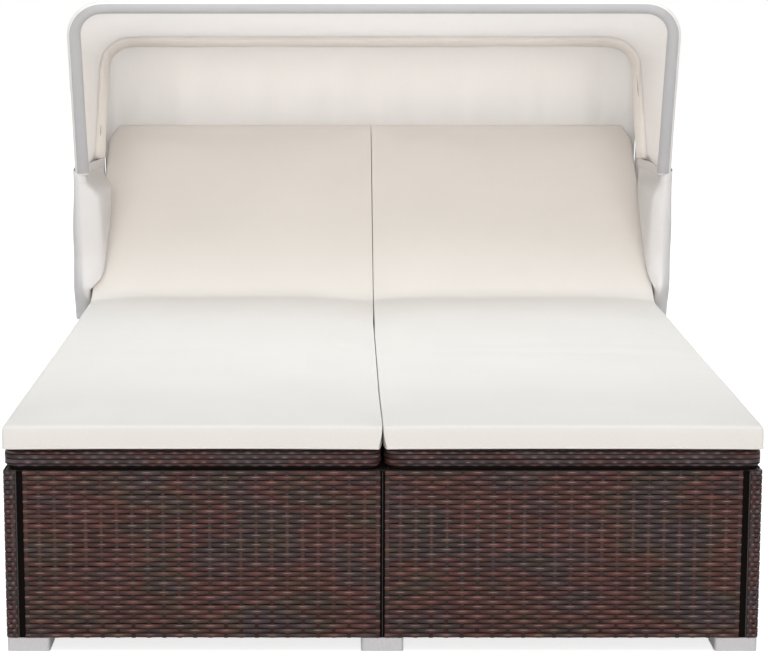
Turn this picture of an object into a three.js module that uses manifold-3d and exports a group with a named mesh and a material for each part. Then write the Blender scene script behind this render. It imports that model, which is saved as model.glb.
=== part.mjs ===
// A two-place outdoor daybed with a folding canopy: a woven base on six feet, two seats,
// two backrests held up by prop stays, and a hood of two hoops that share one pivot.
// Millimetres, +Z up. X runs across the bed, -Y is the foot end, +Y the head end.
import * as THREE from "three";
import { mergeVertices } from "three/addons/utils/BufferGeometryUtils.js";
import Module from "manifold-3d";

const wasm = await Module();
wasm.setup();

// Driving dimensions
const overallWidth = 1300;
const overallLength = 2000;
const baseTop = 320;
const backLength = 640;
const padThickness = 42;
const hoopArm = 802;
const backRestDeg = 36;
const backMaxDeg = 55;
const frontLeanDeg = 18.7;
const rearLeanDeg = 34.9;

// Facets
const roundSides = 16;
const hexSides = 6;
const hoopSides = 5;
const staySides = 4;
const stayBendSteps = 3;
const knobStepsPerLobe = 6;
const padColumns = 8;
const padRows = 10;

// Clearances
const gap = 0.3;
const seamGap = 1.5;
const cutOverrun = 2;

// Base: square tube, woven skin, feet
const baseTube = 20;
const skin = 6;
const wrapWidth = 27;
const wrapReveal = 2;
const footHeight = 24;
const footWidth = 73;
const footInset = 3;
const footCorner = 6;
const spacerHeight = 5;
const spacerWidth = 16;
const spacerLength = 40;
const deckRailFromFoot = 675;
const rackRailDrop = 100;
const rackRailFromHinge = 300;

// Seat and backrest frames
const wrapTube = 29;
const wrapBevel = 6;
const frameCorner = 22;
const frameInset = 2;
const deckThickness = 6;
const deckRise = 5.5;
const frameToHinge = 22;
const hingeRodRadius = 5;
const hingeHoleRadius = 5.7;
const railBoreRadius = 5.8;
const bracketThickness = 5;
const bracketHalf = 13;
const innerBracketFromMiddle = 3;
const outerBracketFromEdge = 9;
const railStart = 17;
const joinDepth = 20;
const rodPastBracket = 1.5;
const rearClearance = 10;

// Prop stays and their notched racks
const stayAttach = 280;
const stayDrop = 25;
const stayLength = 330;
const stayHalfWidth = 205;
const stayRadius = 5;
const stayBend = 12;
const stayPinLength = 30;
const lugOffset = 14;
const lugThickness = 5;
const lugBelowPivot = 11;
const crossRail = 20;
const rackThickness = 6;
const rackHeight = 35;
const rackOverRail = 20;
const notchDepth = 12;
const notchWidth = 14;
const notchPitch = 38;
const firstNotch = 36;
const stayOverRack = 1.5;

// Pads
const padSeatGap = 3;
const padCrown = 7;
const padPull = 6;
const padMiddleGap = 2;

// Hood: hoops, pivots, cloth
const hoodPivotFromHinge = 90;
const hoopTubeRadius = 9.5;
const hoopBend = 70;
const hoopBendSteps = 8;
const hoopClearance = 3;
const flatThickness = 3;
const flatWidth = 18;
const flatLength = 130;
const flatBelow = 12;
const tubeStart = 100;
const boltRadius = 4;
const boltHoleRadius = 4.5;
const boltHeadRadius = 8;
const boltHeadThickness = 6;
const hoodPlateThickness = 3;
const hoodPlateLength = 60;
const hoodPlateHeight = 36;
const washerThickness = 1.5;
const washerRadius = 14;
const knobThickness = 16;
const knobRadius = 20;
const knobLobeRadius = 6;
const knobLobes = 6;
const clothThickness = 2.5;
const roofSag = 14;
const roofOverhang = 11;
const hemHeight = 380;
const flapHeight = 365;
const flapOverlap = 15;
const flapFold = 5;
const flapOverhang = 12;
const curtainFold = 7;
const curtainFolds = 11;
const flapFolds = 3;
const gussetFold = 3;
const gussetLift = 12;
const gussetAbovePivot = 55;

// Places that follow from the sizes above
const halfWidth = overallWidth / 2;
const halfLength = overallLength / 2;
const frameHalfWidth = halfWidth - skin - gap;
const frameHalfLength = halfLength - skin - gap;
const baseBottom = footHeight + gap;
const railTop = baseTop;
const railBottom = baseTop - baseTube;
const wrapBottom = baseTop + spacerHeight;
const hingeZ = wrapBottom + wrapTube / 2;
const hingeY = halfLength - rearClearance - backLength;
const deckRailY = -halfLength + deckRailFromFoot;
const rackRailY = hingeY + rackRailFromHinge;
const rackRailTop = baseTop - rackRailDrop;
const panelMiddle = halfWidth / 2;
const innerBracket = innerBracketFromMiddle;
const outerBracket = halfWidth - outerBracketFromEdge - bracketThickness;
const hoodPivotY = hingeY + hoodPivotFromHinge;
const hoodPivotZ = baseTop - baseTube / 2;
const hoopX = halfWidth + hoopClearance + hoopTubeRadius;
const hoodPlateX = halfWidth + gap;
const frontFlatX = hoodPlateX + hoodPlateThickness + gap;
const rearFlatX = frontFlatX + flatThickness + gap;
const washerX = rearFlatX + flatThickness + gap;
const knobX = washerX + washerThickness + gap;
const toRad = THREE.MathUtils.degToRad;

// Colours and finishes
const weaveBrown = { color: 0x4a332c, roughness: 0.6, metalness: 0 };
const padCloth = { color: 0xebe8e2, roughness: 0.95, metalness: 0 };
const hoodCloth = { color: 0xe6e3df, roughness: 0.9, metalness: 0 };
const coatedSteel = { color: 0x2c2522, roughness: 0.5, metalness: 0.4 };
const zincSteel = { color: 0xb4b6b8, roughness: 0.35, metalness: 0.9 };
const footPlastic = { color: 0xc1c0c2, roughness: 0.6, metalness: 0 };
const knobPlastic = { color: 0x1f1f20, roughness: 0.55, metalness: 0 };

const daybed = new THREE.Group();

function addMesh(parent, name, geometry, finish) {
  const mesh = new THREE.Mesh(geometry, new THREE.MeshStandardMaterial(finish));
  mesh.name = name;
  parent.add(mesh);
  return mesh;
}

// A box from its low corner to its high corner
function block(x0, x1, y0, y1, z0, z1) {
  const shape = new THREE.BoxGeometry(x1 - x0, y1 - y0, z1 - z0);
  return shape.translate((x0 + x1) / 2, (y0 + y1) / 2, (z0 + z1) / 2);
}

function cylinderX(radius, x0, x1, y, z, sides) {
  const shape = new THREE.CylinderGeometry(radius, radius, x1 - x0, sides);
  shape.rotateZ(Math.PI / 2);
  return shape.translate((x0 + x1) / 2, y, z);
}

function toSolid(geometry) {
  const bare = geometry.clone();
  bare.deleteAttribute("normal");
  bare.deleteAttribute("uv");
  const merged = mergeVertices(bare.index ? bare.toNonIndexed() : bare);
  return new wasm.Manifold(
    new wasm.Mesh({
      numProp: 3,
      vertProperties: new Float32Array(merged.attributes.position.array),
      triVerts: new Uint32Array(merged.index.array),
    }),
  );
}

function toGeometry(solid) {
  const mesh = solid.getMesh();
  const geometry = new THREE.BufferGeometry();
  geometry.setAttribute("position", new THREE.BufferAttribute(mesh.vertProperties, 3));
  geometry.setIndex(new THREE.BufferAttribute(mesh.triVerts, 1));
  geometry.computeVertexNormals();
  return geometry;
}

function joined(geometries) {
  return geometries.map(toSolid).reduce((whole, piece) => whole.add(piece));
}

// Mirrors a place across the bed: side is -1 on the left and 1 on the right
function span(side, near, far) {
  return side > 0 ? [near, far] : [-far, -near];
}

// A flat outline in X and Y, raised to a thickness in Z, with chamfered edges
function raised(shape, thickness, bevel) {
  const options = { depth: thickness - 2 * bevel, bevelEnabled: bevel > 0, curveSegments: 3 };
  Object.assign(options, { bevelThickness: bevel, bevelSize: bevel, bevelOffset: -bevel, bevelSegments: 1 });
  return new THREE.ExtrudeGeometry(shape, options).translate(0, 0, bevel);
}

// A flat outline in Y and Z, given a thickness along X from x0
function upright(shape, x0, thickness) {
  const options = { depth: thickness, bevelEnabled: false, curveSegments: roundSides / 4 };
  const geometry = new THREE.ExtrudeGeometry(shape, options);
  geometry.rotateX(Math.PI / 2);
  geometry.rotateZ(Math.PI / 2);
  return geometry.translate(x0, 0, 0);
}

function roundedRectangle(x0, x1, y0, y1, corner, Kind = THREE.Shape) {
  const outline = new Kind();
  outline.moveTo(x0 + corner, y0);
  outline.lineTo(x1 - corner, y0);
  outline.absarc(x1 - corner, y0 + corner, corner, -Math.PI / 2, 0, false);
  outline.absarc(x1 - corner, y1 - corner, corner, 0, Math.PI / 2, false);
  outline.absarc(x0 + corner, y1 - corner, corner, Math.PI / 2, Math.PI, false);
  outline.absarc(x0 + corner, y0 + corner, corner, Math.PI, 1.5 * Math.PI, false);
  return outline;
}

// A path of straight runs with rounded corners, stepped closely only in the bends
class BentPath extends THREE.Curve {
  constructor(corners, bend, bendSteps) {
    super();
    this.stations = [corners[0]];
    for (let i = 1; i < corners.length - 1; i += 1) {
      const before = corners[i - 1].clone().sub(corners[i]).normalize();
      const after = corners[i + 1].clone().sub(corners[i]).normalize();
      const halfAngle = before.angleTo(after) / 2;
      const toCentre = before.clone().add(after).normalize();
      const centre = corners[i].clone().addScaledVector(toCentre, bend / Math.sin(halfAngle));
      const from = corners[i].clone().addScaledVector(before, bend / Math.tan(halfAngle)).sub(centre);
      const axis = before.clone().cross(after).normalize();
      const turn = -(Math.PI - 2 * halfAngle);
      for (let k = 0; k <= bendSteps; k += 1) {
        const arm = from.clone().applyAxisAngle(axis, (turn * k) / bendSteps);
        this.stations.push(arm.add(centre));
      }
    }
    this.stations.push(corners[corners.length - 1]);
  }

  get steps() {
    return this.stations.length - 1;
  }

  getUtoTmapping(u) {
    return u;
  }

  getPoint(t) {
    const place = Math.min(t, 1) * this.steps;
    const index = Math.min(Math.floor(place), this.steps - 1);
    return this.stations[index].clone().lerp(this.stations[index + 1], place - index);
  }

  getTangent(t) {
    const index = Math.round(t * this.steps);
    const here = this.stations[index];
    const sum = new THREE.Vector3();
    if (index > 0) sum.add(here.clone().sub(this.stations[index - 1]).normalize());
    if (index < this.steps) sum.add(this.stations[index + 1].clone().sub(here).normalize());
    return sum.normalize();
  }
}

function tube(corners, bend, bendSteps, radius, sides) {
  const path = new BentPath(corners, bend, bendSteps);
  const section = new THREE.Shape();
  section.absarc(0, 0, radius, 0, 2 * Math.PI, false);
  const options = { steps: path.steps, curveSegments: sides, bevelEnabled: false, extrudePath: path };
  return new THREE.ExtrudeGeometry(section, options);
}

// A closed skin between two grids of the same size, outer and inner
function shell(outer, inner) {
  const rows = outer.length;
  const columns = outer[0].length;
  const positions = [];
  const index = [];
  for (const grid of [outer, inner]) {
    for (const row of grid) {
      for (const point of row) positions.push(point.x, point.y, point.z);
    }
  }
  const at = (layer, row, column) => layer * rows * columns + row * columns + column;
  const quad = (a, b, c, d) => index.push(a, b, c, a, c, d);
  for (let r = 0; r < rows - 1; r += 1) {
    for (let c = 0; c < columns - 1; c += 1) {
      quad(at(0, r, c), at(0, r, c + 1), at(0, r + 1, c + 1), at(0, r + 1, c));
      quad(at(1, r, c), at(1, r + 1, c), at(1, r + 1, c + 1), at(1, r, c + 1));
    }
  }
  for (let r = 0; r < rows - 1; r += 1) {
    quad(at(0, r, 0), at(0, r + 1, 0), at(1, r + 1, 0), at(1, r, 0));
    quad(at(0, r + 1, columns - 1), at(0, r, columns - 1), at(1, r, columns - 1), at(1, r + 1, columns - 1));
  }
  for (let c = 0; c < columns - 1; c += 1) {
    quad(at(0, 0, c + 1), at(0, 0, c), at(1, 0, c), at(1, 0, c + 1));
    quad(at(0, rows - 1, c), at(0, rows - 1, c + 1), at(1, rows - 1, c + 1), at(1, rows - 1, c));
  }
  const geometry = new THREE.BufferGeometry();
  geometry.setAttribute("position", new THREE.BufferAttribute(new Float32Array(positions), 3));
  geometry.setIndex(index);
  const flat = geometry.toNonIndexed();
  flat.computeVertexNormals();
  return volumeOf(flat) > 0 ? flat : turnedOut(flat);
}

function volumeOf(geometry) {
  const p = geometry.attributes.position;
  const [a, b, c] = [new THREE.Vector3(), new THREE.Vector3(), new THREE.Vector3()];
  let sum = 0;
  for (let i = 0; i < p.count; i += 3) {
    a.fromBufferAttribute(p, i);
    b.fromBufferAttribute(p, i + 1);
    c.fromBufferAttribute(p, i + 2);
    sum += a.dot(b.cross(c));
  }
  return sum / 6;
}

function turnedOut(geometry) {
  const p = geometry.attributes.position;
  for (let i = 0; i < p.count; i += 3) {
    const held = [p.getX(i), p.getY(i), p.getZ(i)];
    p.setXYZ(i, p.getX(i + 1), p.getY(i + 1), p.getZ(i + 1));
    p.setXYZ(i + 1, ...held);
  }
  geometry.computeVertexNormals();
  return geometry;
}

// A crowned pad on z = 0, from y0 to y1, whose sides draw in between its corners. Each end leans
// by a slope measured from a height below the pad, so that two pads can fold towards each other.
function pad(x0, x1, y0, y1, slopeHeight, slope0, slope1) {
  const middle = (x0 + x1) / 2;
  const half = (x1 - x0) / 2;
  const columns = edgeStations(x1 - x0, padColumns);
  const rows = edgeStations(y1 - y0, padRows);
  const layers = [1, -1].map((face) => columns.map((x) => {
    const u = x.along / half - 1;
    return rows.map((y) => {
      const v = (2 * y.along) / (y1 - y0) - 1;
      const full = x.full * y.full;
      const crown = face > 0 ? padCrown * (1 - u * u) * (1 - v * v) : 0;
      const z = padThickness / 2 + full * ((face * padThickness) / 2 + crown);
      const low = y0 + (z + slopeHeight) * slope0;
      const high = y1 + (z + slopeHeight) * slope1;
      const pulled = half - padPull * (1 - v * v) * Math.abs(u);
      return new THREE.Vector3(middle + u * pulled, low + (high - low) * (v + 1) / 2, z);
    });
  }));
  return welded(layers[0], layers[1]);
}

// Places along one side of a pad, close together on its rounded edges, with the fullness there
function edgeStations(length, inner) {
  const roundSteps = 3;
  const radius = padThickness / 2;
  const stations = [];
  for (let i = 0; i < roundSteps; i += 1) {
    const angle = ((Math.PI / 2) * i) / roundSteps;
    stations.push({ along: radius * (1 - Math.cos(angle)), full: Math.sin(angle) });
  }
  for (let i = 0; i <= inner; i += 1) {
    stations.push({ along: radius + ((length - 2 * radius) * i) / inner, full: 1 });
  }
  const far = stations.slice(0, roundSteps).reverse();
  return stations.concat(far.map(({ along, full }) => ({ along: length - along, full })));
}

// Two grids that share their rim, closed into one skin
function welded(top, bottom) {
  const positions = [];
  const triangle = (a, b, c) => {
    for (const point of [a, b, c]) positions.push(point.x, point.y, point.z);
  };
  for (let i = 0; i < top.length - 1; i += 1) {
    for (let j = 0; j < top[0].length - 1; j += 1) {
      triangle(top[i][j], top[i + 1][j], top[i + 1][j + 1]);
      triangle(top[i][j], top[i + 1][j + 1], top[i][j + 1]);
      triangle(bottom[i][j], bottom[i + 1][j + 1], bottom[i + 1][j]);
      triangle(bottom[i][j], bottom[i][j + 1], bottom[i + 1][j + 1]);
    }
  }
  const geometry = new THREE.BufferGeometry();
  geometry.setAttribute("position", new THREE.BufferAttribute(new Float32Array(positions), 3));
  geometry.computeVertexNormals();
  return geometry;
}

// Base: one welded frame of square tube
function baseFrame() {
  const [fx, fy] = [frameHalfWidth, frameHalfLength];
  const bars = [];
  for (const [low, high] of [[baseBottom, baseBottom + baseTube], [railBottom, railTop]]) {
    bars.push(block(-fx, fx, -fy, -fy + baseTube, low, high));
    bars.push(block(-fx, fx, fy - baseTube, fy, low, high));
    bars.push(block(-fx, -fx + baseTube, -fy, fy, low, high));
    bars.push(block(fx - baseTube, fx, -fy, fy, low, high));
  }
  const sideUprights = [-fy + baseTube / 2, deckRailY, hingeY, rackRailY, fy - baseTube / 2];
  for (const side of [-1, 1]) {
    const [near, far] = span(side, fx - baseTube, fx);
    for (const y of sideUprights) {
      bars.push(block(near, far, y - baseTube / 2, y + baseTube / 2, baseBottom, railTop));
    }
  }
  for (const y of [-fy + baseTube / 2, fy - baseTube / 2]) {
    bars.push(block(-baseTube / 2, baseTube / 2, y - baseTube / 2, y + baseTube / 2, baseBottom, railTop));
  }
  for (const y of [deckRailY, hingeY]) {
    bars.push(block(-fx, fx, y - baseTube / 2, y + baseTube / 2, railBottom, railTop));
  }
  for (const y of [rackRailY, fy - baseTube / 2]) {
    bars.push(block(-fx, fx, y - baseTube / 2, y + baseTube / 2, rackRailTop - baseTube, rackRailTop));
  }
  bars.push(block(-baseTube / 2, baseTube / 2, -fy, fy, railBottom, railTop));
  const spacerYs = [-fy + spacerLength, deckRailY, hingeY - frameToHinge - spacerLength, fy - spacerLength];
  for (const side of [-1, 1]) {
    const [near, far] = span(side, fx - (baseTube + spacerWidth) / 2, fx - (baseTube - spacerWidth) / 2);
    for (const y of spacerYs) {
      bars.push(block(near, far, y - spacerLength / 2, y + spacerLength / 2, railTop - spacerHeight,
        wrapBottom - gap));
    }
  }
  let frame = joined(bars);
  for (const side of [-1, 1]) {
    const [near, far] = span(side, fx - baseTube - cutOverrun, fx + cutOverrun);
    const hole = cylinderX(boltHoleRadius, near, far, hoodPivotY, hoodPivotZ, roundSides);
    frame = frame.subtract(toSolid(hole));
  }
  return toGeometry(frame);
}

addMesh(daybed, "base_frame", baseFrame(), coatedSteel);

const footPlaces = [["left", footInset - halfWidth], ["middle", -footWidth / 2],
  ["right", halfWidth - footInset - footWidth]];
for (const [end, y0] of [["front", footInset - halfLength], ["rear", halfLength - footInset - footWidth]]) {
  for (const [place, x0] of footPlaces) {
    const outline = roundedRectangle(x0, x0 + footWidth, y0, y0 + footWidth, footCorner);
    addMesh(daybed, `foot_${end}_${place}`, raised(outline, footHeight, 0), footPlastic);
  }
}

// Base: woven panels and the wrapped corner strips between them
for (const [name, y0] of [["front", -halfLength], ["rear", halfLength - skin]]) {
  for (const [side, sideName] of [[-1, "left"], [1, "right"]]) {
    const [x0, x1] = span(side, seamGap, halfWidth - wrapWidth - wrapReveal);
    const panel = block(x0, x1, y0, y0 + skin, baseBottom, railTop);
    addMesh(daybed, `${name}_panel_${sideName}`, panel, weaveBrown);
  }
}
for (const [side, sideName] of [[-1, "left"], [1, "right"]]) {
  const [x0, x1] = span(side, halfWidth - skin, halfWidth);
  const run = halfLength - wrapWidth - wrapReveal;
  const panel = toSolid(block(x0, x1, -run, run, baseBottom, railTop));
  const [cut0, cut1] = [x0 - cutOverrun, x1 + cutOverrun];
  const hole = cylinderX(boltHoleRadius, cut0, cut1, hoodPivotY, hoodPivotZ, roundSides);
  addMesh(daybed, `side_panel_${sideName}`, toGeometry(panel.subtract(toSolid(hole))), weaveBrown);
}
for (const [end, ySign] of [["front", -1], ["rear", 1]]) {
  for (const [side, sideName] of [[-1, "left"], [1, "right"]]) {
    const outline = new THREE.Shape();
    const corner = [side * halfWidth, ySign * halfLength];
    const at = (inX, inY) => [corner[0] - side * inX, corner[1] - ySign * inY];
    outline.moveTo(...at(0, 0));
    outline.lineTo(...at(wrapWidth, 0));
    outline.lineTo(...at(wrapWidth, skin));
    outline.lineTo(...at(skin, skin));
    outline.lineTo(...at(skin, wrapWidth));
    outline.lineTo(...at(0, wrapWidth));
    const strip = raised(outline, railTop - baseBottom, 0).translate(0, 0, baseBottom);
    addMesh(daybed, `corner_wrap_${end}_${sideName}`, strip, weaveBrown);
  }
}

// Seats: a wrapped ring of tube, a woven deck inside it and a pad on top
for (const [side, sideName] of [[-1, "left"], [1, "right"]]) {
  const [x0, x1] = span(side, frameInset, halfWidth - frameInset);
  const y0 = -halfLength + frameInset;
  const y1 = hingeY - frameToHinge;
  const ring = roundedRectangle(x0, x1, y0, y1, frameCorner);
  const inside = [x0 + wrapTube, x1 - wrapTube, y0 + wrapTube, y1 - wrapTube];
  const innerCorner = frameCorner - frameCorner / 2;
  ring.holes.push(roundedRectangle(...inside, innerCorner, THREE.Path));
  const frame = raised(ring, wrapTube, wrapBevel).translate(0, 0, wrapBottom);
  addMesh(daybed, `seat_frame_${sideName}`, frame, weaveBrown);

  const [ix0, ix1, iy0, iy1] = inside;
  const deckOutline = roundedRectangle(ix0 + gap, ix1 - gap, iy0 + gap, iy1 - gap, innerCorner);
  const deck = raised(deckOutline, deckThickness, 0).translate(0, 0, hingeZ + deckRise);
  addMesh(daybed, `seat_deck_${sideName}`, deck, weaveBrown);

  const slope = Math.tan(toRad(backMaxDeg / 2));
  const [px0, px1] = span(side, padMiddleGap, halfWidth);
  const padBottom = wrapBottom + wrapTube + gap;
  const seatPad = pad(px0, px1, -halfLength, hingeY - padSeatGap, padBottom - hingeZ, 0, -slope);
  addMesh(daybed, `seat_cushion_${sideName}`, seatPad.translate(0, 0, padBottom), padCloth);
}

// Backrest hinges: a bracket at each end of the front rail and a rod through both
for (const [side, sideName] of [[-1, "left"], [1, "right"]]) {
  for (const [place, near] of [["inner", innerBracket], ["outer", outerBracket]]) {
    const outline = new THREE.Shape();
    outline.moveTo(hingeY - bracketHalf, railTop + gap);
    outline.lineTo(hingeY + bracketHalf, railTop + gap);
    outline.absarc(hingeY, hingeZ, bracketHalf, 0, Math.PI, false);
    const hole = new THREE.Path();
    hole.absarc(hingeY, hingeZ, hingeHoleRadius, 0, 2 * Math.PI, false);
    outline.holes.push(hole);
    const [x0] = span(side, near, near + bracketThickness);
    const bracket = upright(outline, x0, bracketThickness);
    addMesh(daybed, `hinge_bracket_${sideName}_${place}`, bracket, coatedSteel);
  }
  const rodEnd = outerBracket + bracketThickness + rodPastBracket;
  const [x0, x1] = span(side, innerBracket - rodPastBracket, rodEnd);
  const rod = cylinderX(hingeRodRadius, x0, x1, hingeY, hingeZ, roundSides);
  addMesh(daybed, `hinge_rod_${sideName}`, rod, zincSteel);
}

// Notched racks, one under each backrest
const rackTop = rackRailTop + gap + rackHeight;
for (const [side, sideName] of [[-1, "left"], [1, "right"]]) {
  const rackFrom = rackRailY - rackOverRail / 2;
  const rackTo = frameHalfLength - baseTube + rackOverRail / 2;
  const notchCount = Math.floor((rackTo - rackFrom - 2 * firstNotch) / notchPitch);
  const outline = new THREE.Shape();
  outline.moveTo(rackFrom, rackRailTop + gap);
  outline.lineTo(rackTo, rackRailTop + gap);
  outline.lineTo(rackTo, rackTop);
  for (let i = notchCount - 1; i >= 0; i -= 1) {
    const y = rackFrom + firstNotch + i * notchPitch;
    outline.lineTo(y + notchWidth / 2, rackTop);
    outline.lineTo(y + notchWidth / 4, rackTop - notchDepth);
    outline.lineTo(y - notchWidth / 4, rackTop - notchDepth);
    outline.lineTo(y - notchWidth / 2, rackTop);
  }
  outline.lineTo(rackFrom, rackTop);
  const x0 = side * panelMiddle - rackThickness / 2;
  addMesh(daybed, `notch_rack_${sideName}`, upright(outline, x0, rackThickness), coatedSteel);
}

// Backrests: built flat about the hinge, then raised to the angle they rest at
function backFrame(x0, x1, innerSide) {
  const halfTube = wrapTube / 2;
  const yEnd = backLength;
  const outline = new THREE.Shape();
  outline.moveTo(x0, railStart);
  outline.lineTo(x0 + wrapTube, railStart);
  outline.lineTo(x0 + wrapTube, yEnd - wrapTube);
  outline.lineTo(x1 - wrapTube, yEnd - wrapTube);
  outline.lineTo(x1 - wrapTube, railStart);
  outline.lineTo(x1, railStart);
  outline.lineTo(x1, yEnd - frameCorner);
  outline.absarc(x1 - frameCorner, yEnd - frameCorner, frameCorner, 0, Math.PI / 2, false);
  outline.absarc(x0 + frameCorner, yEnd - frameCorner, frameCorner, Math.PI / 2, Math.PI, false);
  const middle = (x0 + x1) / 2;
  const innerEnd = innerBracket + bracketThickness + 2 * gap;
  const outerEnd = outerBracket - 2 * gap;
  const [railX0, railX1] = span(innerSide, innerEnd, outerEnd);
  const bars = [raised(outline, wrapTube, wrapBevel).translate(0, 0, -halfTube)];
  bars.push(cylinderX(halfTube, railX0, railX1, 0, 0, roundSides));
  const [joinFrom, joinTo] = [x0 + wrapTube - wrapBevel, x1 - wrapTube + wrapBevel];
  for (const [near, far] of [[railX0, joinFrom], [joinTo, railX1]]) {
    bars.push(block(near, far, 0, joinDepth + wrapBevel, -joinDepth / 2, joinDepth / 2));
  }
  bars.push(block(x0 + halfTube, x1 - halfTube, stayAttach - crossRail / 2, stayAttach + crossRail / 2,
    deckRise - gap - crossRail, deckRise - gap));
  for (const lugSide of [-1, 1]) {
    const lugX = middle + lugSide * (stayHalfWidth + lugOffset);
    bars.push(block(lugX - lugThickness / 2, lugX + lugThickness / 2, stayAttach - crossRail / 2,
      stayAttach + crossRail / 2, -stayDrop - lugBelowPivot, 0));
  }
  const reach = stayHalfWidth + lugOffset + lugThickness;
  const [pin0, pin1] = [middle - reach, middle + reach];
  const pinHoles = cylinderX(hingeHoleRadius, pin0, pin1, stayAttach, -stayDrop, roundSides);
  const bore = cylinderX(railBoreRadius, railX0 - cutOverrun, railX1 + cutOverrun, 0, 0, roundSides);
  return toGeometry(joined(bars).subtract(toSolid(pinHoles)).subtract(toSolid(bore)));
}

// The stay hangs from the backrest's lugs at the angle that brings its bar just over the rack
const restRad = toRad(backRestDeg);
const stayPivotHeight = stayAttach * Math.sin(restRad) - stayDrop * Math.cos(restRad);
const barHeight = rackTop + stayOverRack + stayRadius - hingeZ;
const staySlope = Math.asin((stayPivotHeight - barHeight) / stayLength);

for (const [side, sideName] of [[-1, "left"], [1, "right"]]) {
  const backrest = new THREE.Group();
  backrest.position.set(0, hingeY, hingeZ);
  backrest.rotation.x = restRad;
  daybed.add(backrest);

  const [x0, x1] = span(side, frameInset, halfWidth - frameInset);
  addMesh(backrest, `back_frame_${sideName}`, backFrame(x0, x1, side), weaveBrown);

  const deckEnd = backLength - wrapTube - gap;
  const deckStart = wrapTube / 2 + gap;
  const deck = block(x0 + wrapTube + gap, x1 - wrapTube - gap, deckStart, deckEnd, deckRise,
    deckRise + deckThickness);
  addMesh(backrest, `back_deck_${sideName}`, deck, weaveBrown);

  const slope = Math.tan(toRad(backMaxDeg / 2));
  const padBottom = wrapTube / 2 + gap;
  const [px0, px1] = span(side, padMiddleGap, halfWidth);
  const padEnd = backLength + rearClearance - gap;
  const backPad = pad(px0, px1, padSeatGap, padEnd, padBottom, slope, 0);
  addMesh(backrest, `back_cushion_${sideName}`, backPad.translate(0, 0, padBottom), padCloth);

  const stay = new THREE.Group();
  stay.position.set(0, stayAttach, -stayDrop);
  stay.rotation.x = -restRad - staySlope;
  backrest.add(stay);
  const middle = side * panelMiddle;
  const pinEnd = stayHalfWidth + stayPinLength;
  const half = [[stayHalfWidth, stayLength], [stayHalfWidth, 0], [pinEnd, 0]];
  const mirrored = half.map(([x, y]) => [-x, y]).reverse();
  const route = mirrored.concat(half);
  const corners = route.map(([x, y]) => new THREE.Vector3(middle + x, y, 0));
  const bent = tube(corners, stayBend, stayBendSteps, stayRadius, staySides);
  addMesh(stay, `prop_stay_${sideName}`, bent, zincSteel);
}

// Hood pivots: plate, bolt, washer and knob on each side of the base
function hoodPlate(x0) {
  const outline = roundedRectangle(hoodPivotY - hoodPlateLength / 2, hoodPivotY + hoodPlateLength / 2,
    hoodPivotZ - hoodPlateHeight / 2, hoodPivotZ + hoodPlateHeight / 2, footCorner);
  const hole = new THREE.Path();
  hole.absarc(hoodPivotY, hoodPivotZ, boltHoleRadius, 0, 2 * Math.PI, false);
  outline.holes.push(hole);
  return upright(outline, x0, hoodPlateThickness);
}

function ringX(outerRadius, innerRadius, x0, thickness) {
  const outline = new THREE.Shape();
  outline.absarc(hoodPivotY, hoodPivotZ, outerRadius, 0, 2 * Math.PI, false);
  const hole = new THREE.Path();
  hole.absarc(hoodPivotY, hoodPivotZ, innerRadius, 0, 2 * Math.PI, false);
  outline.holes.push(hole);
  return upright(outline, x0, thickness);
}

function knob(x0) {
  const outline = new THREE.Shape();
  const points = knobStepsPerLobe * knobLobes;
  for (let i = 0; i < points; i += 1) {
    const angle = (2 * Math.PI * i) / points;
    const radius = knobRadius - (knobLobeRadius / 2) * (1 - Math.cos(angle * knobLobes)) / 2;
    const place = [hoodPivotY + radius * Math.cos(angle), hoodPivotZ + radius * Math.sin(angle)];
    if (i === 0) outline.moveTo(...place);
    else outline.lineTo(...place);
  }
  const hole = new THREE.Path();
  hole.absarc(hoodPivotY, hoodPivotZ, boltHoleRadius, 0, 2 * Math.PI, false);
  outline.holes.push(hole);
  return upright(outline, x0, knobThickness);
}

for (const [side, sideName] of [[-1, "left"], [1, "right"]]) {
  const placed = (near, thickness) => span(side, near, near + thickness)[0];
  addMesh(daybed, `hood_plate_${sideName}`, hoodPlate(placed(hoodPlateX, hoodPlateThickness)), coatedSteel);
  addMesh(daybed, `hood_washer_${sideName}`,
    ringX(washerRadius, boltHoleRadius, placed(washerX, washerThickness), washerThickness), zincSteel);
  addMesh(daybed, `hood_knob_${sideName}`, knob(placed(knobX, knobThickness)), knobPlastic);
  const railInside = frameHalfWidth - baseTube - gap;
  const [headX0, headX1] = span(side, railInside - boltHeadThickness, railInside);
  const shankEnd = knobX + knobThickness - boltHeadThickness / 2;
  const [shankX0, shankX1] = span(side, railInside - boltHeadThickness / 2, shankEnd);
  const bolt = joined([cylinderX(boltHeadRadius, headX0, headX1, hoodPivotY, hoodPivotZ, hexSides),
    cylinderX(boltRadius, shankX0, shankX1, hoodPivotY, hoodPivotZ, roundSides)]);
  addMesh(daybed, `hood_bolt_${sideName}`, toGeometry(bolt), zincSteel);
}

// Hoops: bent tube with flattened ends, built upright about the shared pivot
function hoop(flatX) {
  const route = [[-hoopX, tubeStart], [-hoopX, hoopArm], [hoopX, hoopArm], [hoopX, tubeStart]];
  const corners = route.map(([x, z]) => new THREE.Vector3(x, 0, z));
  let whole = toSolid(tube(corners, hoopBend, hoopBendSteps, hoopTubeRadius, hoopSides));
  for (const side of [-1, 1]) {
    const [x0, x1] = span(side, flatX, flatX + flatThickness);
    whole = whole.add(toSolid(block(x0, x1, -flatWidth / 2, flatWidth / 2, -flatBelow, flatLength)));
  }
  for (const side of [-1, 1]) {
    const [x0, x1] = span(side, flatX - cutOverrun, flatX + flatThickness + cutOverrun);
    whole = whole.subtract(toSolid(cylinderX(boltHoleRadius, x0, x1, 0, 0, roundSides)));
  }
  return toGeometry(whole);
}

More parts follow.
